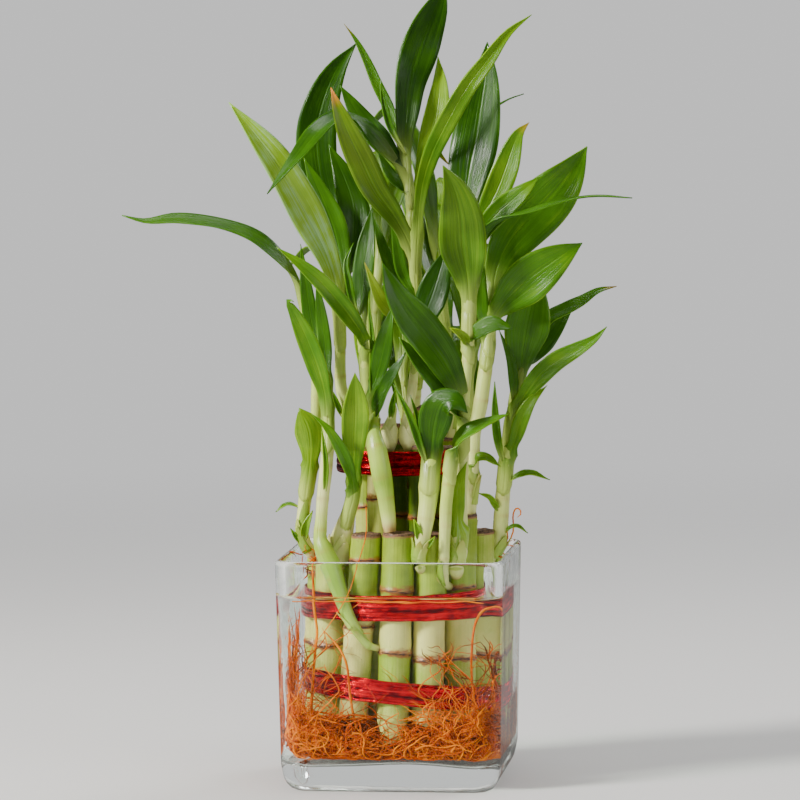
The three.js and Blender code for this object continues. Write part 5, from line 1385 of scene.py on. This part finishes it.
def makeShoot(name, number):
    plan = shoots[name]
    leaves = plan["leaves"]
    stalk = Stalk(plan["stem"])
    rand = random.Random(100 + number)
    pieces = [makeStem(name, stalk, leaves, plan.get("greens", stemShape["greens"]), number)]
    if "sheath" in plan:    # a second stem that wraps the foot of a leaf
        pieces.append(makeStem(name + "Sheath", Stalk(plan["sheath"]), [], plan["sheathGreens"], number))
    for index, leaf in enumerate(leaves):
        drawn = (rand.uniform(0.25, 0.6), rand.uniform(0, 0.12), rand.choice((0, 0, 0.5)))
        tone = leaf.get("tone", drawn)
        pieces.append(makeLeaf(f"{name}Leaf{index}", leaf, tone, stalk, index + number * 7))
    for index in range(2 if "bud" in name else 3):    # small scales clasp the foot of each shoot
        pieces.append(makeScale(f"{name}Scale{index}", stalk, scalePlan(name, index, rand)))
    finished(join(name.replace("_", "."), pieces), "shoot_green", name)


for shootNumber, shootName in enumerate(shoots):
    makeShoot(shootName, shootNumber)
print("shoots made")


# Studio
studio = {"floor": (0.74, 0.725, 0.71, 1), "sky": (0.88, 0.88, 0.88, 1), "dim": (0.02, 0.02, 0.02, 1),
          "skyGlow": 0.2, "skySeen": 0.85, "mirrored": 0.25, "deepFrom": 2.5, "floorSize": 8.0,
          "fade": (0.3, 1.5)}
# each light's place, the height it is aimed at, its size, power, colour and how much it shines back
lights = {
    "keyLight": ((-1.3, -0.95, 1.0), 0.18, 0.45, 64.0, (1, 0.98, 0.94), 0.8),
    "fillLight": ((1.3, -0.8, 0.6), 0.18, 0.9, 5.0, (1, 1, 1), 1.0),
    "topLight": ((0.1, 0.1, 1.5), 0.2, 0.7, 9.0, (1, 1, 1), 0.25),
    "rimLight": ((0.8, 0.9, 0.9), 0.2, 0.5, 8.0, (0.95, 0.98, 1), 0.05),
}


def seenBy(finish):
    # whether a surface is seen straight, through glass or deep inside it, or as a plain reflection
    straight, glossy, through, fill = [finish.node("ShaderNodeLightPath", output=f"Is {kind} Ray")
                                       for kind in ("Camera", "Glossy", "Transmission", "Diffuse")]
    depth = finish.node("ShaderNodeLightPath", output="Ray Depth")
    deep = depth.over(studio["deepFrom"]) * (1 - fill)
    seen = deep.most(straight.most(through))
    return seen, glossy * (1 - seen)


def makeFloor():    # a plain pale floor that fades out into the sky
    bpy.ops.mesh.primitive_plane_add(size=studio["floorSize"])
    floor = bpy.context.object
    floor.name = "studioFloor"
    finish = Finish("studioFloor")
    distance = finish.node("ShaderNodeVectorMath", {"operation": "LENGTH"}, [finish.place()], output=1)
    fade = distance.step(*studio["fade"], 1, 0)
    plain = finish.skin(Base_Color=studio["floor"], Roughness=0.7, Alpha=fade)
    dim = finish.node("ShaderNodeBsdfDiffuse", inputs=[studio["dim"]])
    hidden = seenBy(finish)[1] * (1 - studio["mirrored"])    # a dim reflection keeps the glass clear
    dress(floor, finish.done(finish.node("ShaderNodeMixShader", inputs=[hidden, plain, dim])))


def makeLight(name, place, aim, size, power, colour, shine):
    bpy.ops.object.light_add(type="AREA", location=place)
    light = bpy.context.object
    light.name = name
    ahead = Vector((0, 0, aim)) - Vector(place)
    light.rotation_euler = ahead.to_track_quat("-Z", "Y").to_euler()
    light.data.shape = "DISK"
    light.data.size = size
    light.data.energy = power
    light.data.color = colour
    light.data.specular_factor = shine


def makeWorld():
    # seen straight or through the glass the sky is pale, but it glows only a little
    world = bpy.data.worlds.new("studioSky")
    finish = Finish("studioSky", world)
    seen, mirrored = seenBy(finish)
    glow = studio["skyGlow"] - mirrored * (studio["skyGlow"] * (1 - studio["mirrored"]))
    strength = seen * studio["skySeen"] + (1 - seen) * glow
    finish.done(finish.node("ShaderNodeBackground", inputs=[studio["sky"], strength]), "World")
    bpy.context.scene.world = world


def makeCamera():
    eye = turned(viewer["aside"], -viewer["away"], viewer["height"])
    aim = turned(viewer["aside"], 0, viewer["middle"])
    ahead = (aim - eye).normalized()
    right = bundleTurn @ Vector((1, 0, 0))
    upward = right.cross(ahead)
    across = right * tiltAcross - upward * tiltUp
    upright = right * tiltUp + upward * tiltAcross
    bpy.ops.object.camera_add()
    camera = bpy.context.object
    camera.name = "photoView"
    camera.matrix_world = Matrix((across, upright, -ahead)).transposed().to_4x4()
    camera.location = eye
    camera.data.sensor_width = viewer["sensor"]
    camera.data.lens = viewer["lens"]
    camera.data.clip_end = viewer["seesTo"]
    bpy.context.scene.camera = camera


makeFloor()
for lightName, light in lights.items():
    makeLight(lightName, *light)
makeWorld()
makeCamera()
print("studio made")
